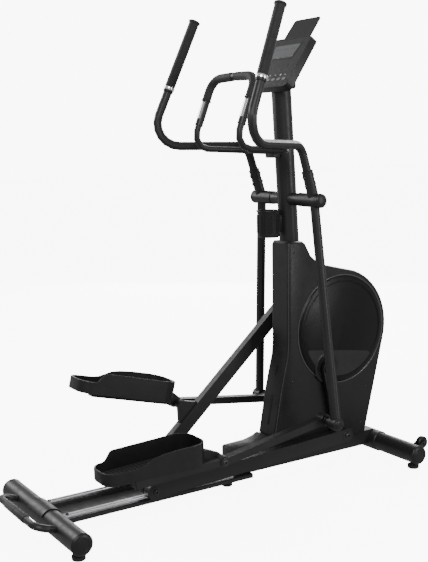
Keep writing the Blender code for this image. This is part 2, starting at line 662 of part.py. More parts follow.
def drive_belt():
    """Flat ribbed belt round both pulleys: two arcs joined by their common tangents."""
    dy, dz = FLYWHEEL_Y - CRANK_Y, FLYWHEEL_Z - CRANK_Z
    heading = degrees(atan2(dz, dy))
    half = degrees(acos((PULLEY_R - SMALL_PULLEY_R) / hypot(dy, dz)))

    def loop(extra):
        big = arc((CRANK_Y, CRANK_Z), PULLEY_R + extra, heading + half, heading + 360 - half, 28)
        small = arc((FLYWHEEL_Y, FLYWHEEL_Z), SMALL_PULLEY_R + extra, heading - half, heading + half, 10)
        return big + small
    low, high = PULLEY_X[0] + 0.0005, PULLEY_X[1] - 0.0005
    belt = plate("drive_belt", loop(0.0024), low, high)
    hole = plate("belt_hole", loop(0.0006), low - 0.01, high + 0.01, cutter=True)
    finish(cut(belt, hole), RUBBER, 0.7)


def brake_magnet():
    """Magnet shoe over the flywheel's rim, on a pivot at its upper end."""
    centre = (FLYWHEEL_Y, FLYWHEEL_Z)
    inner, outer = MAGNET_R - 0.005, MAGNET_R + 0.005
    outline = arc(centre, outer, 62, 137, 9) + arc(centre, inner, 137, 62, 9)
    moved = [(a - MAGNET_PIVOT[0], b - MAGNET_PIVOT[1]) for a, b in outline]
    shoe = plate("brake_magnet", moved, 0.012, 0.040)
    eye = rod("magnet_eye", 0.0075, (0.012, 0, 0), (0.040, 0, 0), 20, cutter=True)
    pivot(join(shoe, eye), (0, *MAGNET_PIVOT), 0.0, eye)
    finish(shoe, STEEL, 0.5, 1.0)


def cranks():
    for name, side in SIDES:
        low, high = span(side, CRANK_ARM)
        hub, tip, reach = 0.030, 0.022, CRANK_RADIUS
        slope = degrees(asin((hub - tip) / reach))
        outline = (arc((0, 0), hub, slope, 180 - slope, 9)
                   + arc((0, -reach), tip, 180 - slope, 360 + slope, 9))
        arm = plate(f"crank_{name}", outline, low, high)
        near, far = span(side, (CRANK_ARM[1] - 0.002, 0.0880))
        boss = rod(f"crank_boss_{name}", 0.024, (near, 0, 0), (far, 0, 0), 20, cutter=True)
        near, far = span(side, (CRANK_ARM[1] - 0.002, CRANK_PIN_END))
        pin = rod(f"crank_pin_{name}", 0.014, (near, 0, -reach), (far, 0, -reach), 20, cutter=True)
        near, far = span(side, (0.05, 0.0853))
        bore = rod(f"crank_bore_{name}", AXLE_R + GAP, (near, 0, 0), (far, 0, 0), 20, cutter=True)
        cut(join(arm, boss, pin), bore)
        angle = CRANK_REST if side > 0 else CRANK_REST + pi
        finish(pivot(arm, (0, CRANK_Y, CRANK_Z), angle, boss, pin, bore), BLACK, 0.4)


# ---- Links, rollers and pedals ----------------------------------------------------------
def rollers():
    for name, side in SIDES:
        rest = rest_linkage(side)
        place = (0, *rest["roller"])
        half, tread, x = 0.011, ROLLER_R, side * RAIL_X
        profile = [(tread, half - 0.003), (tread, 0.003 - half), (tread - 0.002, -half),
                   (0.0063, -half), (0.0063, half), (tread - 0.002, half)]
        profile = [(r, a + x) for r, a in profile]
        finish(pivot(turned(f"roller_{name}", profile, segments=20), place), CHARCOAL, 0.5)
        low, high = span(side, (0.0630, 0.1260))
        axle = rod(f"roller_axle_{name}", 0.006, (low, 0, 0), (high, 0, 0), SMALL_SEGMENTS)
        finish(pivot(axle, place), STEEL, 0.3, 1.0)


def rail_links():
    for name, side in SIDES:
        rest = rest_linkage(side)
        low, high = span(side, LINK_X)
        half = LINK_HEIGHT / 2
        link = block(f"rail_link_{name}", (low, 0.0, -half), (high, LINK_LENGTH, half))
        ends = [rod(f"link_end_{name}_{k}", radius, (low, along, 0), (high, along, 0), SEGMENTS,
                    cutter=True)
                for k, (along, radius) in enumerate(((0.0, 0.030), (LINK_LENGTH, 0.028)))]
        near, far = span(side, (0.1070, 0.1230))
        gusset_outline = ([(PIVOT_ALONG - 0.060, half - 0.005)]
                          + [(PIVOT_ALONG + 0.055, half - 0.005)]
                          + arc((PIVOT_ALONG, PIVOT_ABOVE), 0.018, 15, 150, 8))
        gusset = plate(f"link_gusset_{name}", gusset_outline, near, far, cutter=True)
        near, far = span(side, (0.1050, 0.1390))
        eye = rod(f"link_eye_{name}", 0.018, (near, PIVOT_ALONG, PIVOT_ABOVE),
                  (far, PIVOT_ALONG, PIVOT_ABOVE), 20, cutter=True)
        near, far = span(side, (0.1300, 0.2045))
        pin = rod(f"link_pin_{name}", 0.008, (near, PIVOT_ALONG, PIVOT_ABOVE),
                  (far, PIVOT_ALONG, PIVOT_ABOVE), SMALL_SEGMENTS, cutter=True)
        near, far = span(side, (0.0800, 0.1265))
        bore = rod(f"link_bore_{name}", 0.0063, (near, 0, 0), (far, 0, 0), SMALL_SEGMENTS, cutter=True)
        cut(join(link, *ends, gusset, eye, pin), bore)
        pivot(link, (0, *rest["roller"]), rest["tilt"], *ends, gusset, eye, pin, bore)
        finish(link, BLACK, 0.4)


def foot_links():
    for name, side in SIDES:
        rest = rest_linkage(side)
        low, high = span(side, FOOT_X)
        half = FOOT_TUBE / 2
        bend, end = FOOT_BEND[0], -0.352
        centre = [(FOOT_LINK_LENGTH, 0.0), FOOT_BEND, (end, FOOT_BEND[1] + (bend - end) * FOOT_SLOPE)]
        outline = ([(u, w + half) for u, w in centre] + [(u, w - half) for u, w in reversed(centre)])
        tube = plate(f"foot_link_{name}", outline, low, high)
        front = rod(f"foot_front_{name}", 0.0235, (low, FOOT_LINK_LENGTH, 0), (high, FOOT_LINK_LENGTH, 0),
                    20, cutter=True)
        near, far = span(side, (FOOT_X[1] - 0.01, SWING_FOOT_X[0] - 0.0008))
        stub = rod(f"foot_stub_{name}", 0.015, (near, FOOT_LINK_LENGTH, 0), (far, FOOT_LINK_LENGTH, 0),
                   24, cutter=True)
        near, far = span(side, (0.1400, FOOT_X[0] + 0.005))
        collar = rod(f"foot_collar_{name}", 0.0150, (near, 0, 0), (far, 0, 0), 20, cutter=True)
        eye = rod(f"foot_eye_{name}", 0.0215, (low, 0, 0), (high, 0, 0), 20, cutter=True)
        bore = rod(f"foot_bore_{name}", 0.0083, (-0.3, 0, 0), (0.3, 0, 0), SMALL_SEGMENTS, cutter=True)
        cut(join(tube, front, stub, eye, collar), bore)
        parts = (front, stub, eye, collar, bore)
        pivot(tube, (0, *rest["foot_pivot"]), rest["foot_angle"], *parts)
        finish(tube, BLACK, 0.4)


def pedal_outline(shrink):
    """Sole outline, toe forward: a rounded slab that narrows towards the heel."""
    width, length = PEDAL_SIZE[0] - 2 * shrink, PEDAL_SIZE[1] - 2 * shrink
    toe, heel = width / 2, width * 0.42
    front, back = length / 2, -length / 2
    return (arc((toe - 0.055, front - 0.055), 0.055, 0, 90, 5)
            + arc((0.055 - toe, front - 0.055), 0.055, 90, 180, 5)
            + arc((0.045 - heel, back + 0.045), 0.045, 180, 270, 4)
            + arc((heel - 0.045, back + 0.045), 0.045, 270, 360, 4))


def pedals():
    """Foot tray: high inner and toe walls that fall to a low rim round the heel."""
    for name, side in SIDES:
        rest = rest_linkage(side)
        height, wall, sole, rim = 0.078, 0.005, 0.008, 0.043
        tray = plate(f"pedal_{name}", pedal_outline(0), 0.0, height, "Z")
        hollow = plate(f"pedal_hollow_{name}", pedal_outline(wall), sole, height + 0.02, "Z", cutter=True)
        near, far = span(side, (0.020, 0.120))
        outer = [(-0.25, height + 0.02), (-0.25, rim), (-0.090, rim), (-0.065, rim + 0.004),
                 (-0.040, rim + 0.015), (-0.015, rim + 0.026), (0.020, rim + 0.032), (0.075, height),
                 (0.075, height + 0.02)]
        dip = plate(f"pedal_dip_{name}", outer, near, far, cutter=True)
        near, far = span(side, (-0.120, 0.030))
        inner = [(-0.25, height + 0.02), (-0.25, rim), (-0.146, rim), (-0.136, rim + 0.006),
                 (-0.118, height - 0.005), (-0.108, height), (-0.108, height + 0.02)]
        heel = plate(f"pedal_heel_{name}", inner, near, far, cutter=True)
        cut(tray, hollow, dip, heel)
        middle = PEDAL_TOE - PEDAL_SIZE[1] / 2
        lay = (Matrix.Translation((side * PEDAL_X, middle, SOLE_ABOVE + (PEDAL_TOE - middle) * FOOT_SLOPE))
               @ Matrix.Rotation(PEDAL_PITCH, 4, "X"))
        for item in (tray, hollow, dip, heel):
            item.data.transform(lay)
        pivot(tray, (0, *rest["foot_pivot"]), rest["foot_angle"], hollow, dip, heel)
        finish(tray, CHARCOAL, 0.5)


# ---- Casing -----------------------------------------------------------------------------
def casing_outline():
    """Side outline of the casing: straight column behind, round flywheel cover in front."""
    y = REAR_Y
    round_part = arc((DISC_Y, DISC_Z), CASING_R, -14, 80, 16)
    return ([(y + 0.930, BEAM_TOP_Z + 0.003), (y + 1.397, BEAM_TOP_Z + 0.003)] + round_part
            + [(y + 1.190, 0.818), (y + 1.140, 0.842), (y + 1.116, 0.862), (y + 1.089, 0.910),
               (y + 1.076, 0.919), (y + 1.012, 0.921), (y + 1.004, 0.912), (y + 1.003, 0.520),
               (y + 0.998, 0.470), (y + 0.985, 0.420), (y + 0.966, 0.340), (y + 0.938, 0.190)])


def open_shell(thing, is_open, wall, bevel, angle):
    """Drop the faces on the open side, round the edges and give the skin its thickness."""
    bm = bmesh.new()
    bm.from_mesh(thing.data)
    gone = [face for face in bm.faces if is_open(face)]
    bmesh.ops.delete(bm, geom=gone, context="FACES")
    bm.to_mesh(thing.data)
    bm.free()
    rounding = thing.modifiers.new("Rounding", "BEVEL")
    rounding.width = bevel
    rounding.segments = 2
    rounding.limit_method = "ANGLE"
    rounding.angle_limit = radians(angle)
    skin = thing.modifiers.new("Skin", "SOLIDIFY")
    skin.thickness = wall
    skin.offset = -1
    skin.use_even_offset = True
    return thing


def casing():
    mast_low, mast_high = Vector((0, mast_y(0.80), 0.80)), Vector((0, mast_y(1.0), 1.0))
    mast_hole = rod("casing_mast_hole", TUBE_R + 0.001, mast_low, mast_high, cutter=True)
    crank_hole = rod("casing_crank_hole", 0.030, (-0.1, CRANK_Y, CRANK_Z), (0.1, CRANK_Y, CRANK_Z),
                     cutter=True)
    for name, side in SIDES:
        low, high = span(side, (0.0002, CASING_HALF))
        shell = plate(f"casing_{name}", casing_outline(), low, high)
        open_shell(shell, lambda face: (side * face.normal.x < -0.9 or face.normal.z < -0.9),
                   CASING_WALL, 0.010, 60)
        finish(cut(shell, mast_hole, crank_hole), BLACK, 0.35)
        base, step, rim = CASING_HALF + GAP, 0.0625, DISC_R
        profile = [(0, step), (rim - 0.014, step), (rim - 0.004, base + 0.004), (rim, base),
                   (rim - 0.006, base), (rim - 0.016, step - 0.003), (0, step - 0.003)]
        profile = [(r, side * a) for r, a in profile]
        disc = turned(f"casing_disc_{name}", profile, place=(0, DISC_Y, DISC_Z), segments=32)
        finish(cut(disc, crank_hole), BLACK, 0.12)


def beam_shroud():
    """Cover over the beam between the rail tray and the casing."""
    y, low = REAR_Y, TRAY_LEDGE_Z + 0.0012
    outline = [(y + 0.7585, low), (y + 0.9285, low), (y + 0.9285, 0.164), (y + 0.925, 0.170),
               (y + 0.900, 0.158), (y + 0.860, 0.149), (y + 0.765, 0.146), (y + 0.7585, 0.140)]
    shroud = plate("beam_shroud", outline, -0.0565, 0.0565)
    open_shell(shroud, lambda face: face.normal.z < -0.9 or face.normal.y > 0.9, 0.003, 0.006, 60)
    finish(shroud, BLACK, 0.45)


# ---- Console ----------------------------------------------------------------------------
def console_frame(depth=0.0, along=0.5):
    """Matrix of the console's face: local X right, Y up the face, Z out of it towards the user."""
    turn = Matrix.Rotation(CONSOLE_TILT, 4, "X")
    foot = Vector((0, *CONSOLE_FOOT))
    shift = turn @ Vector((0, CONSOLE_SIZE[1] * along, depth))
    return Matrix.Translation(foot + shift) @ turn


def console():
    width, height = CONSOLE_SIZE
    housing = plate("console_housing", rounded_rectangle(width, height, 0.018), -CONSOLE_THICK, 0.0, "Z")
    recess = plate("console_recess", rounded_rectangle(width - 0.012, height - 0.012, 0.013),
                   -0.0045, 0.01, "Z", cutter=True)
    well = block("console_well", (-0.070, -0.092, -0.012), (0.040, -0.052, 0.001), cutter=True)
    for item in (housing, recess, well):
        item.data.transform(console_frame())
    neck_y = mast_y(1.505)
    neck = block("console_neck", (-0.044, neck_y - 0.046, 1.492), (0.044, neck_y + 0.0415, 1.590), 0.010,
                 cutter=True)
    low, high = Vector((0, mast_y(1.40), 1.40)), Vector((0, mast_y(MAST_TOP_Z), MAST_TOP_Z + 0.001))
    mast_room = rod("console_mast_room", TUBE_R + GAP, low, high, cutter=True)
    front = plate("console_front", rounded_rectangle(0.6, 0.6, 0.01), 0.0, 0.2, "Z", cutter=True)
    front.data.transform(console_frame())
    cut(join(housing, neck), front, recess, well, mast_room)
    finish(housing, CHARCOAL, 0.45)

    face = plate("console_face", rounded_rectangle(width - 0.0126, height - 0.0126, 0.0127),
                 -0.0042, -0.0005, "Z")
    face.data.transform(console_frame())
    for k, x in enumerate(BUTTON_X):
        up = -height / 2 + height * BUTTON_ALONG
        hole = plate(f"button_hole_{k}", rounded_rectangle(BUTTON_SIZE[0] + 0.0008, BUTTON_SIZE[1] + 0.0008,
                                                           0.0044), -0.02, 0.02, "Z", cutter=True)
        hole.data.transform(console_frame() @ Matrix.Translation((x, up, 0)))
        cut(face, hole)
        button = plate(f"console_button_{k + 1}", rounded_rectangle(*BUTTON_SIZE, 0.004), -0.0075, 0.0012,
                       "Z")
        button.matrix_world = console_frame() @ Matrix.Translation((x, up, 0))
        finish(button, STEEL, 0.4)
    finish(face, CHARCOAL, 0.25)


def tablet_rest():
    """Ledge and back plate for a book or tablet behind the top of the console."""
    outline = ([(-0.081, 0.0), (0.081, 0.0)] + arc((0.066, 0.086), 0.012, 0, 90, 4)
               + arc((-0.066, 0.086), 0.012, 90, 180, 4))
    rest = plate("tablet_rest", outline, -0.002, 0.002, "Z")
    lay = (console_frame(-CONSOLE_THICK * 0.5, 1.0) @ Matrix.Translation((0, 0.0022, 0))
           @ Matrix.Rotation(radians(-2), 4, "X"))
    rest.data.transform(lay)
    finish(rest, CHARCOAL, 0.4)


# ---- Assembly ---------------------------------------------------------------------------
def build():
    stabilisers()
    stabiliser_caps()
    transport_wheels()
    feet()
    rail_tray()
    rails()
    main_beam()
    lift_handle()
    mast()
    bottle_holder()
    swing_arms()
    handlebars()
    pulse_bar()
    drive_frame()
    drive_pulley()
    flywheel()
    drive_belt()
    brake_magnet()
    cranks()
    rollers()
    rail_links()
    foot_links()
    pedals()
    casing()
    beam_shroud()
    console()
    tablet_rest()


build()
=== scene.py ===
"""Studio model of the elliptical trainer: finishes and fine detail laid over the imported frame.

Metres, +Z up, +Y towards the flywheel end, +X to the right of the person who stands on it.
Right-hand parts have side = +1 and left-hand parts side = -1.
"""
import json
from math import atan2, cos, hypot, pi, radians, sin

import bmesh
import bpy
from mathutils import Matrix, Vector


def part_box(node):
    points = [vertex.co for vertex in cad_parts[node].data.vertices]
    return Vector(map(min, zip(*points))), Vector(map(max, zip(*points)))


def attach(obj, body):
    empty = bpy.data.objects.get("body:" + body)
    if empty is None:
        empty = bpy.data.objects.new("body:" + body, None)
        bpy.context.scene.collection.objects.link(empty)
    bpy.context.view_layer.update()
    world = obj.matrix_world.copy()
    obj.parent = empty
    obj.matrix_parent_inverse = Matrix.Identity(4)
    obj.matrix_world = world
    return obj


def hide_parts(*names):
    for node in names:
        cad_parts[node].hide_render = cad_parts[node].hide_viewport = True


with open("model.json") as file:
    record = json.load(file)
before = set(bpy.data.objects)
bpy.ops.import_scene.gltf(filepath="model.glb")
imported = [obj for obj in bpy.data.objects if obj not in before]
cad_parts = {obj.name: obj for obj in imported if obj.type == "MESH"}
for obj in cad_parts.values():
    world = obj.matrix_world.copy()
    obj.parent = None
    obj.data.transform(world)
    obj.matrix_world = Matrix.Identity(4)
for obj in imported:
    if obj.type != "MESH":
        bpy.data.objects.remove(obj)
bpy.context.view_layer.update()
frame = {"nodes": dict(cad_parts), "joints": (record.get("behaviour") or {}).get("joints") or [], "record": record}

SIDES = (("right", 1), ("left", -1))
GAP = 0.0003                               # clearance between a fitted piece and what holds it
NODE_SLOT = {part["node"]: part["material_slot"] for part in frame["record"]["subparts"]}
NODE_BODY = {node: body for body, nodes in frame["record"]["behaviour"]["bodies"].items()
             for node in nodes}
JOINTS = {joint["name"]: joint for joint in frame["joints"]}

# Lays an outline on its side: its X runs along Y, its Y upwards and its depth along X.
SIDEWAYS = Matrix(((0, 0, 1, 0), (1, 0, 0, 0), (0, 1, 0, 0), (0, 0, 0, 1)))
SIDEWAYS_LEFT = Matrix.Diagonal((-1, 1, 1, 1)) @ SIDEWAYS


# ---- Finishes ---------------------------------------------------------------------------
def material(name, colour, rough, metal=0.0, coat=0.0, coat_rough=0.1, grain=900.0, bump=0.2,
             depth=0.0002, drift=0.15, patch=9.0, rough_drift=0.06, sheen=0.0, stretch=(1, 1, 1),
             cells=False, specular=0.30):
    """Procedural finish: colour that drifts in soft patches, uneven gloss and a fine grain."""
    made = bpy.data.materials.new(name)
    made.use_nodes = True
    nodes, links = made.node_tree.nodes, made.node_tree.links
    shader = nodes["Principled BSDF"]
    shader.inputs["Metallic"].default_value = metal
    shader.inputs["Coat Weight"].default_value = coat
    shader.inputs["Coat Roughness"].default_value = coat_rough
    shader.inputs["Sheen Weight"].default_value = sheen
    shader.inputs["Specular IOR Level"].default_value = specular
    place = nodes.new("ShaderNodeTexCoord")
    mapping = nodes.new("ShaderNodeMapping")
    mapping.inputs["Scale"].default_value = stretch
    links.new(place.outputs["Object"], mapping.inputs["Vector"])

    def noise(scale, detail, vector):
        node = nodes.new("ShaderNodeTexNoise")
        node.inputs["Scale"].default_value = scale
        node.inputs["Detail"].default_value = detail
        links.new(vector, node.inputs["Vector"])
        return node

    patches = noise(patch, 5.0, place.outputs["Object"])
    ramp = nodes.new("ShaderNodeValToRGB")
    ramp.color_ramp.elements[0].position = 0.3
    ramp.color_ramp.elements[1].position = 0.7
    ramp.color_ramp.elements[0].color = (*[c * (1 - drift) for c in colour], 1)
    ramp.color_ramp.elements[1].color = (*[c * (1 + drift) for c in colour], 1)
    links.new(patches.outputs["Fac"], ramp.inputs["Fac"])
    links.new(ramp.outputs["Color"], shader.inputs["Base Color"])
    gloss = noise(47.0, 4.0, place.outputs["Object"])
    spread = nodes.new("ShaderNodeMapRange")
    spread.inputs["From Min"].default_value = 0.3
    spread.inputs["From Max"].default_value = 0.7
    spread.inputs["To Min"].default_value = max(rough - rough_drift, 0.02)
    spread.inputs["To Max"].default_value = rough + rough_drift
    links.new(gloss.outputs["Fac"], spread.inputs["Value"])
    links.new(spread.outputs["Result"], shader.inputs["Roughness"])
    if cells:
        texture = nodes.new("ShaderNodeTexVoronoi")
        texture.inputs["Scale"].default_value = grain
        links.new(mapping.outputs["Vector"], texture.inputs["Vector"])
        height = texture.outputs["Distance"]
    else:
        height = noise(grain, 3.0, mapping.outputs["Vector"]).outputs["Fac"]
    relief = nodes.new("ShaderNodeBump")
    relief.inputs["Strength"].default_value = bump
    relief.inputs["Distance"].default_value = depth
    links.new(height, relief.inputs["Height"])
    links.new(relief.outputs["Normal"], shader.inputs["Normal"])
    return made


PAINT = material("satin_powder_coat", (0.0120, 0.0120, 0.0125), 0.42, grain=620.0, bump=0.22,
                 depth=0.0003, specular=0.34)
CASING = material("fine_grained_casing", (0.0085, 0.0085, 0.0088), 0.40, grain=1500.0, bump=0.30,
                  depth=0.0002, cells=True)
DISC = material("polished_casing_disc", (0.0040, 0.0040, 0.0042), 0.34, grain=160.0, bump=0.02,
                rough_drift=0.03, specular=0.20)
DISC_LOWER = material("matt_disc_panel", (0.0150, 0.0150, 0.0155), 0.36, grain=900.0, bump=0.2,
                      cells=True)
PEDAL = material("grained_pedal_plastic", (0.0100, 0.0100, 0.0104), 0.36, grain=1100.0, bump=0.35,
                 depth=0.0003, cells=True)
# Painted highlight: light grey on the column's corner bead and the disc's rim ring, standing in for the light
# their bevels catch.
PAINTED_HIGHLIGHT = material("painted_edge_highlight", (0.060, 0.060, 0.062), 0.24, grain=700.0, bump=0.1)
TRIM = material("satin_trim_plastic", (0.0100, 0.0100, 0.0104), 0.36, grain=1300.0, bump=0.25,
                cells=True)
FOAM = material("dense_foam_grip", (0.0100, 0.0100, 0.0100), 0.60, grain=950.0, bump=0.55,
                depth=0.0005, sheen=0.12, cells=True)
RUBBER = material("moulded_rubber", (0.0090, 0.0090, 0.0090), 0.64, grain=700.0, bump=0.3, sheen=0.05)
BELT = material("ribbed_belt_rubber", (0.012, 0.012, 0.012), 0.7, grain=220.0, bump=0.4,
                stretch=(5, 1, 1))
ALUMINIUM = material("brushed_rail_aluminium", (0.80, 0.81, 0.83), 0.30, metal=1.0, grain=60.0,
                     bump=0.02, depth=0.0001, drift=0.06, stretch=(14, 1, 14), rough_drift=0.04)
CHROME = material("polished_chrome", (0.86, 0.87, 0.88), 0.12, metal=1.0, grain=260.0, bump=0.03,
                  drift=0.05, rough_drift=0.04)
STEEL = material("ground_steel", (0.46, 0.46, 0.48), 0.3, metal=1.0, grain=120.0, bump=0.1,
                 drift=0.12, stretch=(1, 20, 20))
BOLT = material("black_oxide_bolt", (0.05, 0.05, 0.052), 0.32, metal=0.85, grain=900.0, bump=0.15,
                drift=0.25)
IRON = material("machined_cast_iron", (0.16, 0.16, 0.165), 0.4, metal=0.9, grain=300.0, bump=0.3)
ROLLER = material("polyurethane_roller", (0.0130, 0.0130, 0.0135), 0.34, grain=500.0, bump=0.15)
PANEL = material("satin_console_panel", (0.0190, 0.0190, 0.0200), 0.32,
                 grain=1400.0, bump=0.12, cells=True)
KEYS = material("grey_key_caps", (0.20, 0.20, 0.21), 0.5, grain=900.0, bump=0.15)
MARKS = material("pale_printed_marks", (0.62, 0.62, 0.64), 0.5, grain=900.0, bump=0.05)
SLOT_DARK = material("shadowed_recess", (0.004, 0.004, 0.004), 0.8, grain=600.0, bump=0.1)


def screen_material():
    """Unlit liquid-crystal window: grey-green glass over a fine grid of segments."""
    made = material("display_glass", (0.105, 0.110, 0.112), 0.18, coat=0.4, coat_rough=0.04,
                    grain=500.0, bump=0.02, drift=0.10, patch=22.0)
    nodes, links = made.node_tree.nodes, made.node_tree.links
    bricks = nodes.new("ShaderNodeTexBrick")
    bricks.offset = 0.0
    bricks.inputs["Scale"].default_value = 260.0
    bricks.inputs["Mortar Size"].default_value = 0.035
    bricks.inputs["Color1"].default_value = (0.115, 0.120, 0.122, 1)
    bricks.inputs["Color2"].default_value = (0.100, 0.105, 0.108, 1)
    bricks.inputs["Mortar"].default_value = (0.075, 0.080, 0.082, 1)
    place = nodes["Texture Coordinate"]
    links.new(place.outputs["Object"], bricks.inputs["Vector"])
    links.new(bricks.outputs["Color"], nodes["Principled BSDF"].inputs["Base Color"])
    return made


SCREEN = screen_material()

SLOT_FINISH = {
    "frame_paint": PAINT, "casing_plastic": CASING, "disc_plastic": DISC, "pedal_plastic": PEDAL,
    "trim_plastic": TRIM, "grip_foam": FOAM, "foot_rubber": RUBBER, "belt_rubber": BELT,
    "rail_aluminium": ALUMINIUM, "axle_steel": STEEL, "flywheel_iron": IRON,
    "roller_plastic": ROLLER, "console_plastic": PANEL, "button_rubber": KEYS,
}


# ---- Building blocks --------------------------------------------------------------------
def settle(name, bm, finish, body, smooth=35.0, edge=0.0, steps=2):
    """Turn built geometry into a piece with its finish and body."""
    bmesh.ops.remove_doubles(bm, verts=bm.verts, dist=1e-6)
    bmesh.ops.recalc_face_normals(bm, faces=bm.faces)
    mesh = bpy.data.meshes.new(name)
    bm.to_mesh(mesh)
    bm.free()
    mesh.materials.append(finish)
    mesh.shade_smooth()
    mesh.set_sharp_from_angle(angle=radians(smooth))
    piece = bpy.data.objects.new(name, mesh)
    bpy.context.scene.collection.objects.link(piece)
    if edge:
        rounding = piece.modifiers.new("Rounding", "BEVEL")
        rounding.width = edge
        rounding.segments = steps
        rounding.limit_method = "ANGLE"
        rounding.angle_limit = radians(38)
        rounding.harden_normals = True
    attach(piece, body)
    return piece


def facing(place, axis):
    """Matrix at a place, with its Z along an axis."""
    return (Matrix.Translation(Vector(place))
            @ Vector(axis).normalized().to_track_quat("Z", "Y").to_matrix().to_4x4())


def lathe(name, profile, place, axis, finish, body, steps=40, edge=0.0):
    """Revolve (radius, height) pairs about an axis through a place."""
    bm = bmesh.new()
    lay = facing(place, axis)
    closed = profile[0][0] > 0 and profile[-1][0] > 0
    rings = []
    for radius, height in profile:
        if radius <= 0:
            rings.append([bm.verts.new(lay @ Vector((0, 0, height)))])
        else:
            rings.append([bm.verts.new(lay @ Vector((radius * cos(2 * pi * k / steps),
                                                     radius * sin(2 * pi * k / steps), height)))
                          for k in range(steps)])
    pairs = list(zip(rings, rings[1:]))
    if closed:
        pairs.append((rings[-1], rings[0]))
    for first, second in pairs:
        for k in range(steps):
            corners = [first[k % len(first)], first[(k + 1) % len(first)],
                       second[(k + 1) % len(second)], second[k % len(second)]]
            unique = list(dict.fromkeys(corners))
            if len(unique) > 2:
                bm.faces.new(unique)
    return settle(name, bm, finish, body, edge=edge)


def slab(name, outline, low, high, lay, finish, body, edge=0.0005):
    """Extrude an outline in local X-Y from low to high, laid by a matrix."""
    bm = bmesh.new()
    ends = [[bm.verts.new(lay @ Vector((x, y, z))) for x, y in outline] for z in (low, high)]
    bm.faces.new(ends[0])
    bm.faces.new(list(reversed(ends[1])))
    count = len(outline)
    for k in range(count):
        bm.faces.new((ends[0][k], ends[1][k], ends[1][(k + 1) % count], ends[0][(k + 1) % count]))
    return settle(name, bm, finish, body, edge=edge)


def arc(centre, radius, start, end, count):
    """Points on an arc, angles in degrees."""
    return [(centre[0] + radius * cos(radians(start + (end - start) * k / count)),
             centre[1] + radius * sin(radians(start + (end - start) * k / count)))
            for k in range(count + 1)]


def rounded(width, height, radius, centre=(0.0, 0.0), steps=6):
    """Outline of a rectangle with round corners."""
    x, y = width / 2 - radius, height / 2 - radius
    points = (arc((x, y), radius, 0, 90, steps) + arc((-x, y), radius, 90, 180, steps)
              + arc((-x, -y), radius, 180, 270, steps) + arc((x, -y), radius, 270, 360, steps))
    return [(a + centre[0], b + centre[1]) for a, b in points]


def bolt(name, place, axis, radius, height, body, finish=BOLT):
    """Button-head bolt with a hexagon socket."""
    lay = facing(place, axis)
    bm = bmesh.new()
    steps = 24
    socket_width, socket_floor = 0.44, 0.35      # as shares of the radius and of the height
    profile = ((0.99, 0.0), (1.0, 0.18), (0.95, 0.50), (0.80, 0.80), (0.58, 0.97), (0.50, 1.0))
    rings = [[bm.verts.new(lay @ Vector((radius * r * cos(2 * pi * k / steps),
                                         radius * r * sin(2 * pi * k / steps), height * h)))
              for k in range(steps)] for r, h in profile]

    def socket(h):
        ring = []
        for k in range(steps):
            turned = 2 * pi * k / steps
            flat = cos(pi / 6) / cos((turned % (pi / 3)) - pi / 6)
            corner = (radius * socket_width * flat * cos(turned),
                      radius * socket_width * flat * sin(turned), height * h)
            ring.append(bm.verts.new(lay @ Vector(corner)))
        return ring
    rings += [socket(1.0), socket(socket_floor)]
    for first, second in zip(rings, rings[1:]):
        for k in range(steps):
            bm.faces.new((first[k], first[(k + 1) % steps], second[(k + 1) % steps], second[k]))
    bm.faces.new(rings[0])
    bm.faces.new(rings[-1])
    return settle(name, bm, finish, body)


def hose(name, points, radius, finish, body, start=0.0, sweep=360.0, wall=0.0015, count=28):
    """A tube, or a strip of one, along straight or gently bent points."""
    bm = bmesh.new()
    points = [Vector(p) for p in points]
    sections = []
    for k, point in enumerate(points):
        ahead = points[min(k + 1, len(points) - 1)] - points[max(k - 1, 0)]
        heading = ahead.normalized()
        across = heading.cross(Vector((0, 0, 1)))
        across = Vector((1, 0, 0)) if across.length < 1e-4 else across.normalized()
        over = across.cross(heading)
        inner, outer = [], []
        for j in range(count + 1):
            turned = radians(start + sweep * j / count)
            ray = across * cos(turned) + over * sin(turned)
            outer.append(point + ray * radius)
            inner.append(point + ray * (radius - wall))
        sections.append([bm.verts.new(p) for p in outer + inner[::-1]])
    size = len(sections[0])
    for first, second in zip(sections, sections[1:]):
        for j in range(size):
            bm.faces.new((first[j], first[(j + 1) % size], second[(j + 1) % size], second[j]))
    if sweep < 360:
        bm.faces.new(sections[0])
        bm.faces.new(list(reversed(sections[-1])))
    else:
        half = size // 2
        for section in (sections[0], sections[-1]):
            for j in range(half - 1):
                bm.faces.new((section[j], section[j + 1], section[size - 2 - j], section[size - 1 - j]))
    return settle(name, bm, finish, body)


def refine(node, edge=0.0012, smooth=35.0):
    """The node's own shape with rounded, smoothly shaded edges, standing for the node."""
    finish, source = SLOT_FINISH[NODE_SLOT[node]], frame["nodes"][node]
    bm = bmesh.new()
    bm.from_mesh(source.data)
    bmesh.ops.remove_doubles(bm, verts=bm.verts, dist=2e-6)
    bmesh.ops.dissolve_limit(bm, angle_limit=radians(0.4), verts=bm.verts, edges=bm.edges)
    piece = settle(f"{node}_shape", bm, finish, NODE_BODY[node], smooth=smooth,
                   edge=edge)
    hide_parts(node)
    return piece


# ---- Every CAD node gets its finish -----------------------------------------------------
for node_name, node_object in frame["nodes"].items():
    node_object.data.materials.clear()
    node_object.data.materials.append(SLOT_FINISH[NODE_SLOT[node_name]])

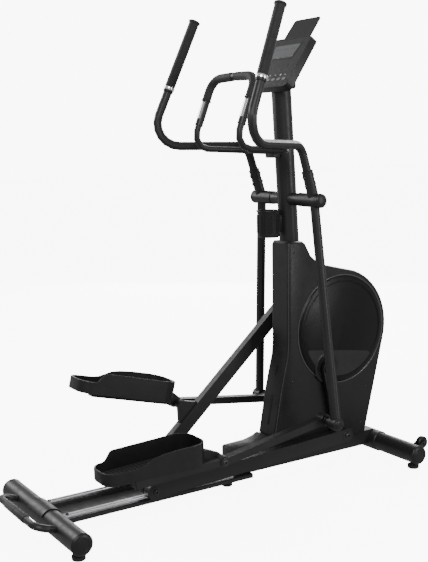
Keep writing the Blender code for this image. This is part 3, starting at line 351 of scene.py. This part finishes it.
REFINED = {                                # node or pair of nodes: width of its rounded edges
    "front_stabiliser": 0.0006, "rear_stabiliser": 0.0006, "rail_tray": 0.0006, "mast": 0.0008,
    "swing_arm": 0.0012, "handlebar": 0.0008, "crank": 0.0012, "rail_link": 0.0022,
    "foot_link": 0.0018, "front_cap": 0.0005, "rear_cap": 0.0005, "bottle_holder": 0.0006,
    "transport_wheel": 0.0006, "tablet_rest": 0.0006, "console_housing": 0.0012,
    "front_foot": 0.0008, "rear_foot": 0.0008, "middle_foot": 0.0008, "handlebar_grip": 0.0012,
    "pulse_grip": 0.0020, "lift_grip": 0.0008, "lift_handle": 0.0006, "pulse_bar": 0.0006,
    "pedal": 0.0014, "casing": 0.0, "casing_disc": 0.0006, "beam_shroud": 0.0, "main_beam": 0.0,
    "rail": 0.0003, "roller": 0.0006, "console_face": 0.0004, "console_button_1": 0.0008,
    "console_button_2": 0.0008, "console_button_3": 0.0008,
}
for stem, edge in REFINED.items():
    for node_name in (stem, f"{stem}_left", f"{stem}_right"):
        if node_name in frame["nodes"]:
            refine(node_name, edge)


# ---- Places taken from the frame --------------------------------------------------------
CRANK_RADIUS = 0.275
CRANK_REST = radians(10.5)
FOOT_LINK_LENGTH = 0.470
SWING_LENGTH = 0.834


def middle_of(node, axis):
    """Middle of a node's box along one axis."""
    low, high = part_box(node)
    return (low[axis] + high[axis]) / 2


def joint_place(name):
    return Vector(JOINTS[name]["pos_m"])


CRANK = joint_place("crank_turn")
AXLE = joint_place("right_arm_swing")


def places(side_name, side):
    """Pins and matrices of one side's links at rest: local X across, Y along, Z above."""
    turn = CRANK_REST if side > 0 else CRANK_REST + pi
    pin = Vector((0, CRANK.y + CRANK_RADIUS * sin(turn), CRANK.z - CRANK_RADIUS * cos(turn)))
    roller = joint_place(f"{side_name}_link_tilt")
    pivot = joint_place(f"{side_name}_foot_link_turn")
    gap = AXLE - pivot
    apart = hypot(gap.y, gap.z)
    along = (FOOT_LINK_LENGTH ** 2 - SWING_LENGTH ** 2 + apart ** 2) / (2 * apart)
    aside = (FOOT_LINK_LENGTH ** 2 - along ** 2) ** 0.5
    lower = Vector((0, pivot.y + (gap.y * along + gap.z * aside) / apart,
                    pivot.z + (gap.z * along - gap.y * aside) / apart))

    def lay(origin, turned):
        return Matrix.Translation(origin) @ Matrix.Rotation(turned, 4, "X")
    link_turn = atan2(pin.z - roller.z, pin.y - roller.y)
    foot_turn = atan2(lower.z - pivot.z, lower.y - pivot.y)
    swing = atan2(lower.y - AXLE.y, AXLE.z - lower.z)
    return {"pin": pin, "roller": roller, "pivot": pivot, "lower": lower,
            "link": lay(roller, link_turn), "foot": lay(pivot, foot_turn),
            "arm": lay(Vector((0, AXLE.y, AXLE.z)), swing)}


PLACES = {name: places(name, side) for name, side in SIDES}
REAR_Y = middle_of("rear_foot_left", 1)
FRONT_Y = middle_of("front_foot_left", 1)
TUBE_Z = middle_of("rear_stabiliser", 2)


# ---- Swing arms and handlebars ----------------------------------------------------------
HANDLE_TOP = (0.264, -0.201, 0.683)        # across, along and above the cross axle
HANDLE_BEND = (0.3245, -0.412, 0.229)
HANDLE_FOOT = (0.167, -0.0565, 0.205)
ARM_TOP_X = 0.165
ARM_HUB_X = 0.205
ARM_FOOT_X = 0.2755
GRIP_LENGTH = 0.262
SOCKET_BOLTS = (0.060, 0.094)              # up the socket from the arm's top
SOCKET_RIM = 0.112
SOCKET_RADIUS = 0.0203


def arm_details(name, side):
    """Grip ring, collar and crown, socket bolts and rim, and the caps of the hub and the foot."""
    body, lay = f"arm_{name}", PLACES[name]["arm"]
    mirror = Matrix.Diagonal((side, 1, 1, 1))
    local = lay @ mirror

    def at(x, y, z):
        return local @ Vector((x, y, z))
    top, bend = at(*HANDLE_TOP), at(*HANDLE_BEND)
    down = (bend - top).normalized()
    lathe(f"grip_ring_{name}", [(0.0168, 0.0), (0.0205, 0.0005), (0.0212, 0.003), (0.0212, 0.010),
                                (0.0205, 0.0125), (0.0168, 0.013)],
          top + down * (GRIP_LENGTH + 0.0005), down, CHROME, body)
    lathe(f"grip_collar_{name}", [(0.0168, 0.0), (0.0192, 0.0005), (0.0192, 0.007), (0.0180, 0.009),
                                  (0.0168, 0.0095)],
          top + down * (GRIP_LENGTH + 0.0137), down, TRIM, body)
    lathe(f"grip_crown_{name}", [(0.0, 0.0), (0.0095, 0.0), (0.0130, 0.0006), (0.0130, 0.0016),
                                 (0.0090, 0.0024), (0.0, 0.0026)],
          top - down * 0.0056, -down, TRIM, body)
    socket_foot, socket_top = Vector((ARM_TOP_X, 0, 0)), Vector(HANDLE_FOOT)
    heading = (socket_top - socket_foot).normalized()
    aft = heading.cross(Vector((1, 0, 0))).normalized()
    for k, reach in enumerate(SOCKET_BOLTS):
        centre = socket_foot + heading * reach
        for mark, way in (("front", 1), ("back", -1)):
            place = at(*(centre + aft * way * SOCKET_RADIUS))
            bolt(f"socket_bolt_{mark}_{k + 1}_{name}", place,
                 (local.to_3x3() @ (aft * way)), 0.0072, 0.0042, body)
    rim = socket_foot + heading * SOCKET_RIM
    lathe(f"socket_rim_{name}", [(0.0170, -0.003), (0.0216, -0.003), (0.0216, 0.0008),
                                 (0.0205, 0.0018), (0.0170, 0.0018)],
          at(*rim), local.to_3x3() @ heading, PAINT, body, edge=0.0004)
    out = Vector((side, 0, 0))
    hub_end = at(ARM_HUB_X, 0, 0)
    lathe(f"hub_cap_{name}", [(0.0, 0.0098), (0.010, 0.0094), (0.018, 0.0076), (0.0235, 0.0042),
                              (0.0262, 0.0006), (0.0262, -0.0060), (0.0268, -0.0064),
                              (0.0268, -0.0078), (0.0255, -0.0080), (0.0, -0.0002)],
          hub_end + out * 0.0003, out, TRIM, body)
    foot = at(ARM_FOOT_X, 0, -SWING_LENGTH)
    lathe(f"arm_foot_cap_{name}", [(0.0, 0.0050), (0.009, 0.0048), (0.016, 0.0034), (0.0195, 0.0008),
                                   (0.0200, -0.0003), (0.0, -0.0003)],
          foot, out, TRIM, body)
    lathe(f"arm_foot_ring_{name}", [(0.0235, -0.003), (0.0252, -0.0026), (0.0252, 0.0002),
                                    (0.0235, 0.0006)],
          foot - out * 0.002, out, PAINT, body)


# ---- Cranks, rail links, foot links -----------------------------------------------------
CRANK_END_X = 0.0885
BEARING_RING_X = 0.0628
LINK_FACE_X = 0.1303
PIVOT_EYE_X, PIVOT_CAP_X, PIVOT_BOLT_X = 0.1150, 0.2062, 0.2071
FOOT_NUT_X, FOOT_TUBE_X, FOOT_COLLAR_X = 0.1660, 0.184, 0.2100
BRACKET_X = (0.1415, 0.1656)
FOOT_BEND = (0.022, -0.003)                # along and above the foot link's pivots
FOOT_END = 0.352                           # length of its tube behind the pivot
PEDAL_PITCH = radians(-6.8)
FOOT_SLOPE = sin(-PEDAL_PITCH) / cos(PEDAL_PITCH)


def crank_details(name, side):
    """Cap over the crank's fixing and the ring around its opening in the casing."""
    out = Vector((side, 0, 0))
    lathe(f"crank_cap_{name}", [(0.0, 0.0046), (0.008, 0.0044), (0.013, 0.0030), (0.0155, 0.0006),
                                (0.0158, -0.0003), (0.0, -0.0003)],
          CRANK + out * CRANK_END_X, out, TRIM, "crank")
    lathe(f"casing_bearing_ring_{name}", [(0.0310, 0.0), (0.0600, 0.0), (0.0600, 0.0008),
                                          (0.0575, 0.0021), (0.0500, 0.0021), (0.0480, 0.0012),
                                          (0.0345, 0.0012), (0.0310, 0.0006)],
          CRANK + out * BEARING_RING_X, out, TRIM, "frame")


def link_details(name, side):
    """Washers and bolts at the link's two ends, and the cap, bolt and ring of its pivot."""
    body, place = f"link_{name}", PLACES[name]
    out = Vector((side, 0, 0))
    face = out * LINK_FACE_X
    for mark, point, radius in (("pin", place["pin"], 0.0165), ("roller", place["roller"], 0.0150)):
        lathe(f"link_{mark}_washer_{name}", [(0.0, 0.0014), (radius + 0.0035, 0.0014),
                                             (radius + 0.0040, 0.0008), (radius + 0.0040, -0.0003),
                                             (0.0, -0.0003)],
              point + face, out, BOLT, body)
        bolt(f"link_{mark}_bolt_{name}", point + face + out * 0.0015, out, radius * 0.72, 0.0055, body)
    lathe(f"pivot_cap_{name}", [(0.0, 0.0008), (0.0135, 0.0008), (0.0160, 0.0002), (0.0160, -0.0015),
                                (0.0, -0.0015)],
          place["pivot"] + out * PIVOT_CAP_X, out, BOLT, body)
    bolt(f"pivot_bolt_{name}", place["pivot"] + out * PIVOT_BOLT_X, out, 0.0105, 0.0048, body)
    lathe(f"pivot_boss_ring_{name}", [(0.0180, -0.003), (0.0200, -0.0024), (0.0200, 0.0024),
                                      (0.0180, 0.003)],
          place["pivot"] + out * PIVOT_EYE_X, out, PAINT, body)


def foot_details(name, side):
    """Nut and collar of the lower joint, the bracket under the toe and the tube's end plug."""
    body, place = f"foot_{name}", PLACES[name]
    out = Vector((side, 0, 0))
    lathe(f"foot_joint_nut_{name}", [(0.0, 0.0060), (0.0085, 0.0056), (0.0115, 0.0036),
                                     (0.0120, -0.0003), (0.0, -0.0003)],
          place["lower"] + out * FOOT_NUT_X, -out, BOLT, body)
    lathe(f"foot_joint_collar_{name}", [(0.0150, -0.002), (0.0188, -0.0016), (0.0188, 0.0016),
                                        (0.0150, 0.002)],
          place["lower"] + out * FOOT_COLLAR_X, out, TRIM, body)
    bracket = [(-0.0600, 0.0125), (-0.0600, 0.0560), (-0.0400, 0.0520), (0.0080, 0.0230),
               (0.0180, 0.0060), (0.0160, -0.0150), (-0.0100, -0.0150)]
    inner, outer = sorted(side * x for x in BRACKET_X)
    slab(f"toe_bracket_{name}", bracket, inner, outer, place["foot"] @ SIDEWAYS, PAINT, body,
         0.0030)
    end_height = FOOT_BEND[1] + (FOOT_BEND[0] + FOOT_END) * FOOT_SLOPE
    plug = place["foot"] @ Matrix.Translation((side * FOOT_TUBE_X, -FOOT_END - GAP, end_height))
    turn = Matrix.Rotation(radians(90), 4, "X")
    slab(f"foot_tube_plug_{name}", rounded(0.0345, 0.0258, 0.004), 0.0, 0.0030, plug @ turn, TRIM,
         body, 0.0008)


# ---- Pedals -----------------------------------------------------------------------------
PEDAL_SIZE = (0.166, 0.392)
PEDAL_TOE = -0.062                         # toe end, along from the foot link's pivot
PEDAL_X = 0.130
PEDAL_WALL = 0.005
PEDAL_SOLE = 0.008
TOE_ROUND, HEEL_ROUND = 0.055, 0.045
HEEL_SHARE = 0.42                          # half the heel, as a share of the whole width
FOOT_TUBE_HALF = 0.0135
SOLE_ABOVE = FOOT_BEND[1] + (FOOT_BEND[0] - PEDAL_TOE) * FOOT_SLOPE + FOOT_TUBE_HALF + GAP
RIBS = 23
RIB_REACH = 0.168                          # first and last rib, from the pedal's middle
RIB_HALF, RIB_BOW = 0.0022, 0.006


def pedal_outline(shrink, steps=10):
    """The pedal's outline from above, toe at +Y, drawn in by a margin."""
    width, length = PEDAL_SIZE[0] - 2 * shrink, PEDAL_SIZE[1] - 2 * shrink
    toe_x, toe_y = width / 2 - TOE_ROUND, length / 2 - TOE_ROUND
    heel_x, heel_y = width * HEEL_SHARE - HEEL_ROUND, length / 2 - HEEL_ROUND
    return (arc((toe_x, toe_y), TOE_ROUND, 0, 90, steps)
            + arc((-toe_x, toe_y), TOE_ROUND, 90, 180, steps)
            + arc((-heel_x, -heel_y), HEEL_ROUND, 180, 270, steps)
            + arc((heel_x, -heel_y), HEEL_ROUND, 270, 360, steps))


def half_width(outline, along):
    """Half the outline's width at a distance along it."""
    reach = 0.0
    for (x0, y0), (x1, y1) in zip(outline, outline[1:] + outline[:1]):
        if (y0 - along) * (y1 - along) <= 0 and y0 != y1:
            reach = max(reach, abs(x0 + (x1 - x0) * (along - y0) / (y1 - y0)))
    return reach


def pedal_details(name, side):
    """Ribbed rubber mat on the pedal's sole."""
    body = f"foot_{name}"
    middle = PEDAL_TOE - PEDAL_SIZE[1] / 2
    above = SOLE_ABOVE + (PEDAL_TOE - middle) * FOOT_SLOPE
    lay = (PLACES[name]["foot"] @ Matrix.Translation((side * PEDAL_X, middle, above))
           @ Matrix.Rotation(PEDAL_PITCH, 4, "X"))
    mat = pedal_outline(PEDAL_WALL + 0.0030)
    base = PEDAL_SOLE + GAP
    slab(f"pedal_mat_{name}", mat, base, base + 0.0028, lay, RUBBER, body, 0.0008)
    inset = pedal_outline(PEDAL_WALL + 0.0110)
    for k in range(RIBS):
        along = RIB_REACH * (2 * k / (RIBS - 1) - 1)
        reach = half_width(inset, along)
        bowed = [(x * reach / 8, along - RIB_BOW * (x / 8) ** 2) for x in range(-8, 9)]
        upper = [(x, y + RIB_HALF) for x, y in reversed(bowed)]
        lower = [(x, y - RIB_HALF) for x, y in bowed]
        slab(f"pedal_rib_{k + 1}_{name}", upper + lower, base + 0.0026, base + 0.0046, lay, RUBBER,
             body, 0.0005)


for side_label, side_sign in SIDES:
    arm_details(side_label, side_sign)
    crank_details(side_label, side_sign)
    link_details(side_label, side_sign)
    foot_details(side_label, side_sign)
    pedal_details(side_label, side_sign)


# ---- Fixed inner handlebar --------------------------------------------------------------
PULSE_LOW = Vector((0.140, REAR_Y + 0.7035, 1.279))
PULSE_HIGH = Vector((0.140, REAR_Y + 0.802, 1.531))
CARRIER_SPAN = (0.34, 0.345)               # start and length, as shares of low to high
PLATE_SPAN = (0.42, 0.240)
PULSE_FLANGE, PULSE_BAND = 0.700, 0.330
PLATE_STARTS = (("rear", 225), ("front", 45))   # degrees round the bar, each plate spans 90


def pulse_details(name, side):
    """Carrier, two sensor plates, flange and end band of one pulse grip."""
    mirror = Matrix.Diagonal((side, 1, 1, 1))
    low, high = mirror @ PULSE_LOW, mirror @ PULSE_HIGH
    heading = (high - low).normalized()

    def run(span):
        return [low.lerp(high, span[0] + span[1] * k / 6) for k in range(7)]
    hose(f"pulse_carrier_{name}", run(CARRIER_SPAN), 0.0144, TRIM, "frame",
         wall=0.0016)
    for mark, start in PLATE_STARTS:
        hose(f"pulse_plate_{mark}_{name}", run(PLATE_SPAN), 0.0153, CHROME, "frame",
             start=start, sweep=90, wall=0.0008)
    lathe(f"pulse_flange_{name}", [(0.0130, 0.0), (0.0182, 0.0003), (0.0187, 0.0018),
                                   (0.0182, 0.0042), (0.0130, 0.0046)],
          low.lerp(high, PULSE_FLANGE) - heading * 0.0050, heading, FOAM, "frame")
    lathe(f"pulse_end_band_{name}", [(0.0128, 0.0), (0.0152, 0.0003), (0.0152, 0.0040),
                                     (0.0128, 0.0043)],
          low.lerp(high, PULSE_BAND), heading, TRIM, "frame")


def pulse_middle():
    """Band round the middle of the top bar and the bolts of the saddle on the mast."""
    centre = (0, REAR_Y + 0.807, PULSE_HIGH.z + 0.004)
    saddle_y, saddle_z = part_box("mast")[0][1] - 0.0002, 1.262
    lathe("pulse_joint_band", [(0.0128, -0.0095), (0.0142, -0.0090), (0.0142, 0.0090),
                               (0.0128, 0.0095)],
          centre, (1, 0, 0), TRIM, "frame")
    for k, way in enumerate((-1, 1)):
        bolt(f"saddle_bolt_{k + 1}", (way * 0.0150, saddle_y, saddle_z), (0, -1, 0), 0.0060, 0.0035,
             "frame")


for side_label, side_sign in SIDES:
    pulse_details(side_label, side_sign)


# ---- Console ----------------------------------------------------------------------------
CONSOLE_TILT = radians(56.0)
CONSOLE_SIZE = (0.232, 0.224)
CONSOLE_FOOT = (REAR_Y + 0.948, 1.498)     # lower edge of the face: Y, Z
CONSOLE_BACK = -0.0325
KEY_MARKS_X = (-0.076, -0.048, -0.016, 0.016, 0.048, 0.076)
KEY_MARKS_Y, SIDE_KEYS_Y = -0.0590, -0.0784
SIDE_KEYS_X = (-0.080, 0.048, 0.080)
SCREEN_LINES_X, SCREEN_LINES_Y = (-0.049, -0.004, 0.041), 0.0585
CONSOLE_SCREW = (0.092, 0.088)             # from the middle of the back


def console_lay(depth=0.0):
    """Matrix at the middle of the console's face, its Z out of the face."""
    turn = Matrix.Rotation(CONSOLE_TILT, 4, "X")
    middle = Vector((0, *CONSOLE_FOOT)) + turn @ Vector((0, CONSOLE_SIZE[1] / 2, depth))
    return Matrix.Translation(middle) @ turn


def console_details():
    """Screen and bezel, dark lines on the screen, marks over the keys, side keys, back screws."""
    lay = console_lay()
    window = [(0.072, 0.077), (-0.080, 0.077), (-0.066, 0.020), (0.058, 0.020)]
    border = [(0.080, 0.084), (-0.088, 0.084), (-0.071, 0.013), (0.063, 0.013)]
    slab("screen_bezel", border, -0.0004, 0.0005, lay, PANEL, "frame", 0.0004)
    slab("screen", window, 0.0004, 0.0010, lay, SCREEN, "frame", 0.0003)
    for k, x in enumerate(SCREEN_LINES_X):
        slab(f"screen_line_{k + 1}", rounded(0.030, 0.0010, 0.0004, (x, SCREEN_LINES_Y)), 0.0010,
             0.0011, lay, SLOT_DARK, "frame", 0.0)
    forward = [(0.004, 0.0), (-0.003, 0.004), (-0.003, -0.004)]
    less = [(0.004, 0.003), (-0.004, 0.003), (0, -0.004)]
    more = [(0.004, -0.003), (0, 0.004), (-0.004, -0.003)]
    signs = (forward, less, more, rounded(0.008, 0.0022, 0.001), rounded(0.007, 0.007, 0.002),
             rounded(0.009, 0.0022, 0.001))
    for k, (x, sign) in enumerate(zip(KEY_MARKS_X, signs)):
        slab(f"key_mark_{k + 1}", [(x + a, b + KEY_MARKS_Y) for a, b in sign], -0.0004, 0.0001,
             lay, MARKS, "frame", 0.0)
    for k, x in enumerate(SIDE_KEYS_X):
        slab(f"side_key_{k + 1}", rounded(0.0200, 0.0110, 0.004, (x, SIDE_KEYS_Y)), -0.0004, 0.0010,
             lay, KEYS, "frame", 0.0006)
    back = console_lay(CONSOLE_BACK)
    behind = back.to_3x3() @ Vector((0, 0, -1))
    for k, (x, y) in enumerate(((-1, -1), (1, -1), (-1, 1), (1, 1))):
        place = back @ Vector((x * CONSOLE_SCREW[0], y * CONSOLE_SCREW[1], GAP))
        bolt(f"console_screw_{k + 1}", place, behind, 0.0042, 0.0018, "frame")


console_details()
pulse_middle()


# ---- Bottle holder, casing and column ---------------------------------------------------
HOLDER_Y = REAR_Y + 0.952
HOLDER_SLOTS = 8                           # those that would face the mast are left out
CASING_FACE_X = 0.0541
DISC_FACE_X = 0.0626
PANEL_REACH = 0.1880                       # the lower panel stays this near the disc's middle
PANEL_HOLE = 0.0335
PANEL_STEP = 0.0005                        # how finely its rim is searched for
CROWN_PEAK, CROWN_START = 0.494, 1.067     # height of its top line and where that is measured
COLUMN_EDGE = ((0.9290, 0.140), (0.9380, 0.190), (0.9520, 0.265), (0.9660, 0.340),
               (0.9850, 0.420), (0.9980, 0.470), (1.0030, 0.520), (1.0035, 0.700),
               (1.0040, 0.905))            # forward of the rear stabiliser, and height
CASING_SCREWS = ((1.022, 0.374), (1.395, 0.300), (1.030, 0.880), (1.000, 0.150), (1.370, 0.150))
COLUMN_SLOT = ((0.9410, 0.206), (0.9589, 0.302), (0.9889, 0.435))


def bottle_details():
    """Framed dark slots round the holder, and its rim."""
    low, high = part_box("bottle_holder")
    for k in range(HOLDER_SLOTS):
        turned = 2 * pi * (k + 0.5) / HOLDER_SLOTS
        if sin(turned) > 0.80:
            continue
        lay = (Matrix.Translation((0, HOLDER_Y, (low[2] + high[2]) / 2))
               @ Matrix.Rotation(turned, 4, "Z") @ SIDEWAYS)
        slab(f"holder_frame_{k + 1}", rounded(0.0150, 0.0720, 0.0070), 0.0405, 0.0446, lay, TRIM,
             "frame", 0.0006)
        slab(f"holder_slot_{k + 1}", rounded(0.0095, 0.0660, 0.0045), 0.0440, 0.0449, lay, SLOT_DARK,
             "frame", 0.0)
    lathe("holder_rim", [(0.0425, -0.0040), (0.0462, -0.0036), (0.0470, -0.0015), (0.0462, 0.0006),
                         (0.0430, 0.0010), (0.0412, -0.0006)],
          (0, HOLDER_Y, high[2]), (0, 0, 1), TRIM, "frame")


def disc_panel(name, side, y, z):
    """Matt lower part of the disc, below a gently crowned line, clear of the crank's opening."""
    bm = bmesh.new()
    steps, thick = 96, 0.0005

    def inside(ray, distance):
        a, b = CRANK.y + ray[0] * distance, CRANK.z + ray[1] * distance
        along = a - REAR_Y - CROWN_START
        crown = CROWN_PEAK - 0.105 * along - 0.08 * along ** 2
        return hypot(a - y, b - z) < PANEL_REACH and b < crown
    loops = [[], [], [], []]
    for k in range(steps):
        ray = (cos(2 * pi * k / steps), sin(2 * pi * k / steps))
        outer = PANEL_HOLE + 0.0004
        while inside(ray, outer + PANEL_STEP):
            outer += PANEL_STEP
        section = ((PANEL_HOLE, 0.0), (PANEL_HOLE, thick), (outer, thick), (outer, 0.0))
        for loop, (radius, height) in zip(loops, section):
            loop.append(bm.verts.new((side * (DISC_FACE_X + height), CRANK.y + ray[0] * radius,
                                      CRANK.z + ray[1] * radius)))
    for first, second in zip(loops, loops[1:] + loops[:1]):
        for k in range(steps):
            bm.faces.new((first[k], first[(k + 1) % steps], second[(k + 1) % steps], second[k]))
    settle(f"disc_lower_panel_{name}", bm, DISC_LOWER, "frame")


def casing_details():
    """Disc beads, rims of painted highlight and lower panels, the column's painted highlight lines and slot, and
    the screws.
    """
    y, z = (middle_of("casing_disc_right", axis) for axis in (1, 2))
    for name, side in SIDES:
        out = Vector((side, 0, 0))
        face = Vector((side * DISC_FACE_X, y, z))
        lathe(f"disc_bead_{name}", [(0.1905, -0.0004), (0.1915, 0.0012), (0.1935, 0.0016),
                                    (0.1955, 0.0012), (0.1965, -0.0004)],
              face, out, DISC, "frame", steps=96)
        # Thin bright bead on the column's rear corner: a painted highlight for the light its bevel catches.
        bead = [Vector((side * 0.0512, REAR_Y + along + 0.0029, height))
                for along, height in COLUMN_EDGE]
        hose(f"column_highlight_bead_{name}", bead, 0.0016, PAINTED_HIGHLIGHT, "frame", wall=0.0008,
             count=12)
        # Bright ring round the disc's edge: a painted highlight for its bevelled rim.
        lathe(f"disc_highlight_rim_{name}", [(0.2145, 0.0), (0.2190, 0.0), (0.2186, 0.0022), (0.2165, 0.0030),
                                   (0.2145, 0.0022)],
              Vector((side * CASING_FACE_X, y, z)), out, PAINTED_HIGHLIGHT, "frame", steps=96)
        disc_panel(name, side, y, z)
        for k, (along, height) in enumerate(CASING_SCREWS):
            bolt(f"casing_screw_{k + 1}_{name}", (side * CASING_FACE_X, REAR_Y + along, height), out,
                 0.0046, 0.0016, "frame")
    rear = [(REAR_Y + along - 0.0008, height) for along, height in COLUMN_SLOT]
    outline = rear + [(y + 0.0026, z) for y, z in reversed(rear)]
    slab("column_slot", outline, -0.0056, 0.0056, SIDEWAYS, SLOT_DARK, "frame",
         0.0)


bottle_details()
casing_details()


# ---- Base -------------------------------------------------------------------------------
TUBE_END_X, FOOT_X, FOOT_NUT_Z = 0.3050, 0.268, 0.0155
RAIL_X, RAIL_TOP_Z = 0.076, 0.0734
RAIL_SCREWS = (("rear", 0.0500, 0.0042), ("front", 0.704, 0.0036))   # along, and head height
WHEEL_X, WHEEL_BOLT = 0.255, 0.0172
SHROUD_Y, SHROUD_X = REAR_Y + 0.842, 0.0566


def base_details():
    """Cap beads and foot nuts, rail grooves and screws, wheel bolts, shroud lines and screws."""
    for end, y in (("rear", REAR_Y), ("front", FRONT_Y)):
        for name, side in SIDES:
            out = Vector((side, 0, 0))
            centre = Vector((side * TUBE_END_X, y, TUBE_Z))
            lathe(f"{end}_cap_bead_{name}", [(0.0205, -0.0003), (0.0215, 0.0009), (0.0235, 0.0009),
                                             (0.0245, -0.0003)],
                  centre, out, TRIM, "frame")
            lathe(f"{end}_foot_nut_{name}", [(0.0142, 0.0), (0.0180, 0.0004), (0.0180, 0.0042),
                                             (0.0142, 0.0046)],
                  (side * FOOT_X, y, FOOT_NUT_Z), (0, 0, 1), BOLT, "frame", steps=6)
    for name, side in SIDES:
        x = side * RAIL_X
        slab(f"rail_groove_{name}", rounded(0.0082, 0.640, 0.002, (x, REAR_Y + 0.380)), 0.0708,
             0.0716, Matrix.Identity(4), SLOT_DARK, "frame", 0.0)
        for end, along, height in RAIL_SCREWS:
            bolt(f"rail_screw_{end}_{name}", (x, REAR_Y + along, RAIL_TOP_Z), (0, 0, 1), 0.0060,
                 height, "frame")
        axle_y, axle_z = (middle_of(f"transport_wheel_{name}", axis) for axis in (1, 2))
        for k, way in enumerate((-1, 1)):
            bolt(f"wheel_bolt_{k + 1}_{name}", (side * WHEEL_X + way * WHEEL_BOLT, axle_y, axle_z),
                 (way, 0, 0), 0.0070, 0.0034, "frame")
        slab(f"shroud_line_{name}", rounded(0.130, 0.0020, 0.0009, (SHROUD_Y, 0.128)), SHROUD_X,
             SHROUD_X + 0.0006, SIDEWAYS if side > 0 else SIDEWAYS_LEFT, TRIM, "frame",
             0.0)
        bolt(f"shroud_screw_{name}", (side * (SHROUD_X + 0.0001), SHROUD_Y, 0.100), (side, 0, 0),
             0.0042, 0.0016, "frame")


def lift_handle_seam():
    """Seam round the middle of the lift grip."""
    centre = (0, middle_of("lift_grip", 1), middle_of("lift_grip", 2))
    lathe("lift_grip_seam", [(0.0128, -0.0012), (0.0146, -0.0009), (0.0146, 0.0009),
                             (0.0128, 0.0012)],
          centre, (1, 0, 0), SLOT_DARK, "frame")


lift_handle_seam()
base_details()


# ---- Studio -----------------------------------------------------------------------------
FLOOR_HALF, FLOOR_Z, FLOOR_GLOW = 30.0, -0.0005, 8.2
AMBIENT, BACKDROP = 0.50, 9.0              # light on the object, and what the camera sees behind
LAMPS = (                                  # place, aimed at, watts, width and height
    ("key", (3.4, -2.6, 3.6), (0, 0, 0.9), 150, 2.2, 2.2),
    ("side", (-3.2, -1.6, 2.6), (0, 0, 0.8), 90, 1.4, 2.6),
    ("back", (-1.5, 3.4, 2.8), (0, 0.2, 0.9), 110, 2.0, 2.0),
    ("near", (3.6, 1.8, 1.6), (0, 0.3, 0.7), 60, 0.8, 2.4),
    ("low", (-4.2, 3.0, 0.9), (0, -0.3, 0.1), 60, 3.6, 1.2),
)
CAMERA_PLACE = (2.914, -1.8892, 1.316)
CAMERA_AZIMUTH, CAMERA_DOWN, CAMERA_ROLL = radians(57.22), radians(8.54), radians(-1.007)
CAMERA_LENS = 61.008                       # millimetres, on a sensor 36 mm high


def floor_piece():
    """Pale glowing floor that lights nothing and shows in no reflection."""
    floor_mesh = bpy.data.meshes.new("floor")
    bm = bmesh.new()
    corners = ((-1, -1), (1, -1), (1, 1), (-1, 1))
    bm.faces.new([bm.verts.new((x * FLOOR_HALF, y * FLOOR_HALF, FLOOR_Z)) for x, y in corners])
    bm.to_mesh(floor_mesh)
    bm.free()
    pale = bpy.data.materials.new("pale_floor")
    pale.use_nodes = True
    shader = pale.node_tree.nodes["Principled BSDF"]
    shader.inputs["Base Color"].default_value = (0.93, 0.93, 0.93, 1)
    shader.inputs["Roughness"].default_value = 0.85
    shader.inputs["Emission Color"].default_value = (1, 1, 1, 1)
    shader.inputs["Emission Strength"].default_value = FLOOR_GLOW
    pale.cycles.emission_sampling = "NONE"
    floor_mesh.materials.append(pale)
    floor = bpy.data.objects.new("floor", floor_mesh)
    bpy.context.scene.collection.objects.link(floor)
    floor.visible_diffuse = False
    floor.visible_glossy = False


def studio():
    """Bright backdrop for the camera, soft ambient light for the object, and the lamps."""
    floor_piece()
    world = bpy.data.worlds.new("studio")
    bpy.context.scene.world = world
    world.use_nodes = True
    nodes, links = world.node_tree.nodes, world.node_tree.links
    ambient = nodes["Background"]
    ambient.inputs["Color"].default_value = (1, 1, 1, 1)
    ambient.inputs["Strength"].default_value = AMBIENT
    backdrop = nodes.new("ShaderNodeBackground")
    backdrop.inputs["Color"].default_value = (1, 1, 1, 1)
    backdrop.inputs["Strength"].default_value = BACKDROP
    seen = nodes.new("ShaderNodeLightPath")
    choice = nodes.new("ShaderNodeMixShader")
    links.new(seen.outputs["Is Camera Ray"], choice.inputs["Fac"])
    links.new(ambient.outputs["Background"], choice.inputs[1])
    links.new(backdrop.outputs["Background"], choice.inputs[2])
    links.new(choice.outputs["Shader"], nodes["World Output"].inputs["Surface"])

    for name, place, target, power, size_x, size_y in LAMPS:
        light = bpy.data.lights.new(name, "AREA")
        light.shape = "RECTANGLE"
        light.size, light.size_y = size_x, size_y
        light.energy = power
        lamp = bpy.data.objects.new(name, light)
        lamp.location = place
        lamp.visible_camera = False
        aim = Vector(target) - Vector(place)
        lamp.rotation_euler = aim.to_track_quat("-Z", "Y").to_euler()
        bpy.context.scene.collection.objects.link(lamp)


def camera():
    """The studio camera: a little above the console, off the machine's rear right."""
    azimuth, down, roll = CAMERA_AZIMUTH, CAMERA_DOWN, CAMERA_ROLL
    lens = bpy.data.cameras.new("camera")
    lens.sensor_fit = "VERTICAL"
    lens.sensor_height = 36.0
    lens.lens = CAMERA_LENS
    lens.clip_end = 200.0
    forward = Vector((-sin(azimuth) * cos(down), cos(azimuth) * cos(down), -sin(down)))
    level = Vector((cos(azimuth), sin(azimuth), 0))
    above = level.cross(forward)
    right = level * cos(roll) + above * sin(roll)
    up = above * cos(roll) - level * sin(roll)
    matrix = Matrix((right, up, -forward)).transposed().to_4x4()
    matrix.translation = Vector(CAMERA_PLACE)
    eye = bpy.data.objects.new("camera", lens)
    bpy.context.scene.collection.objects.link(eye)
    eye.matrix_world = matrix
    bpy.context.scene.camera = eye


studio()
camera()
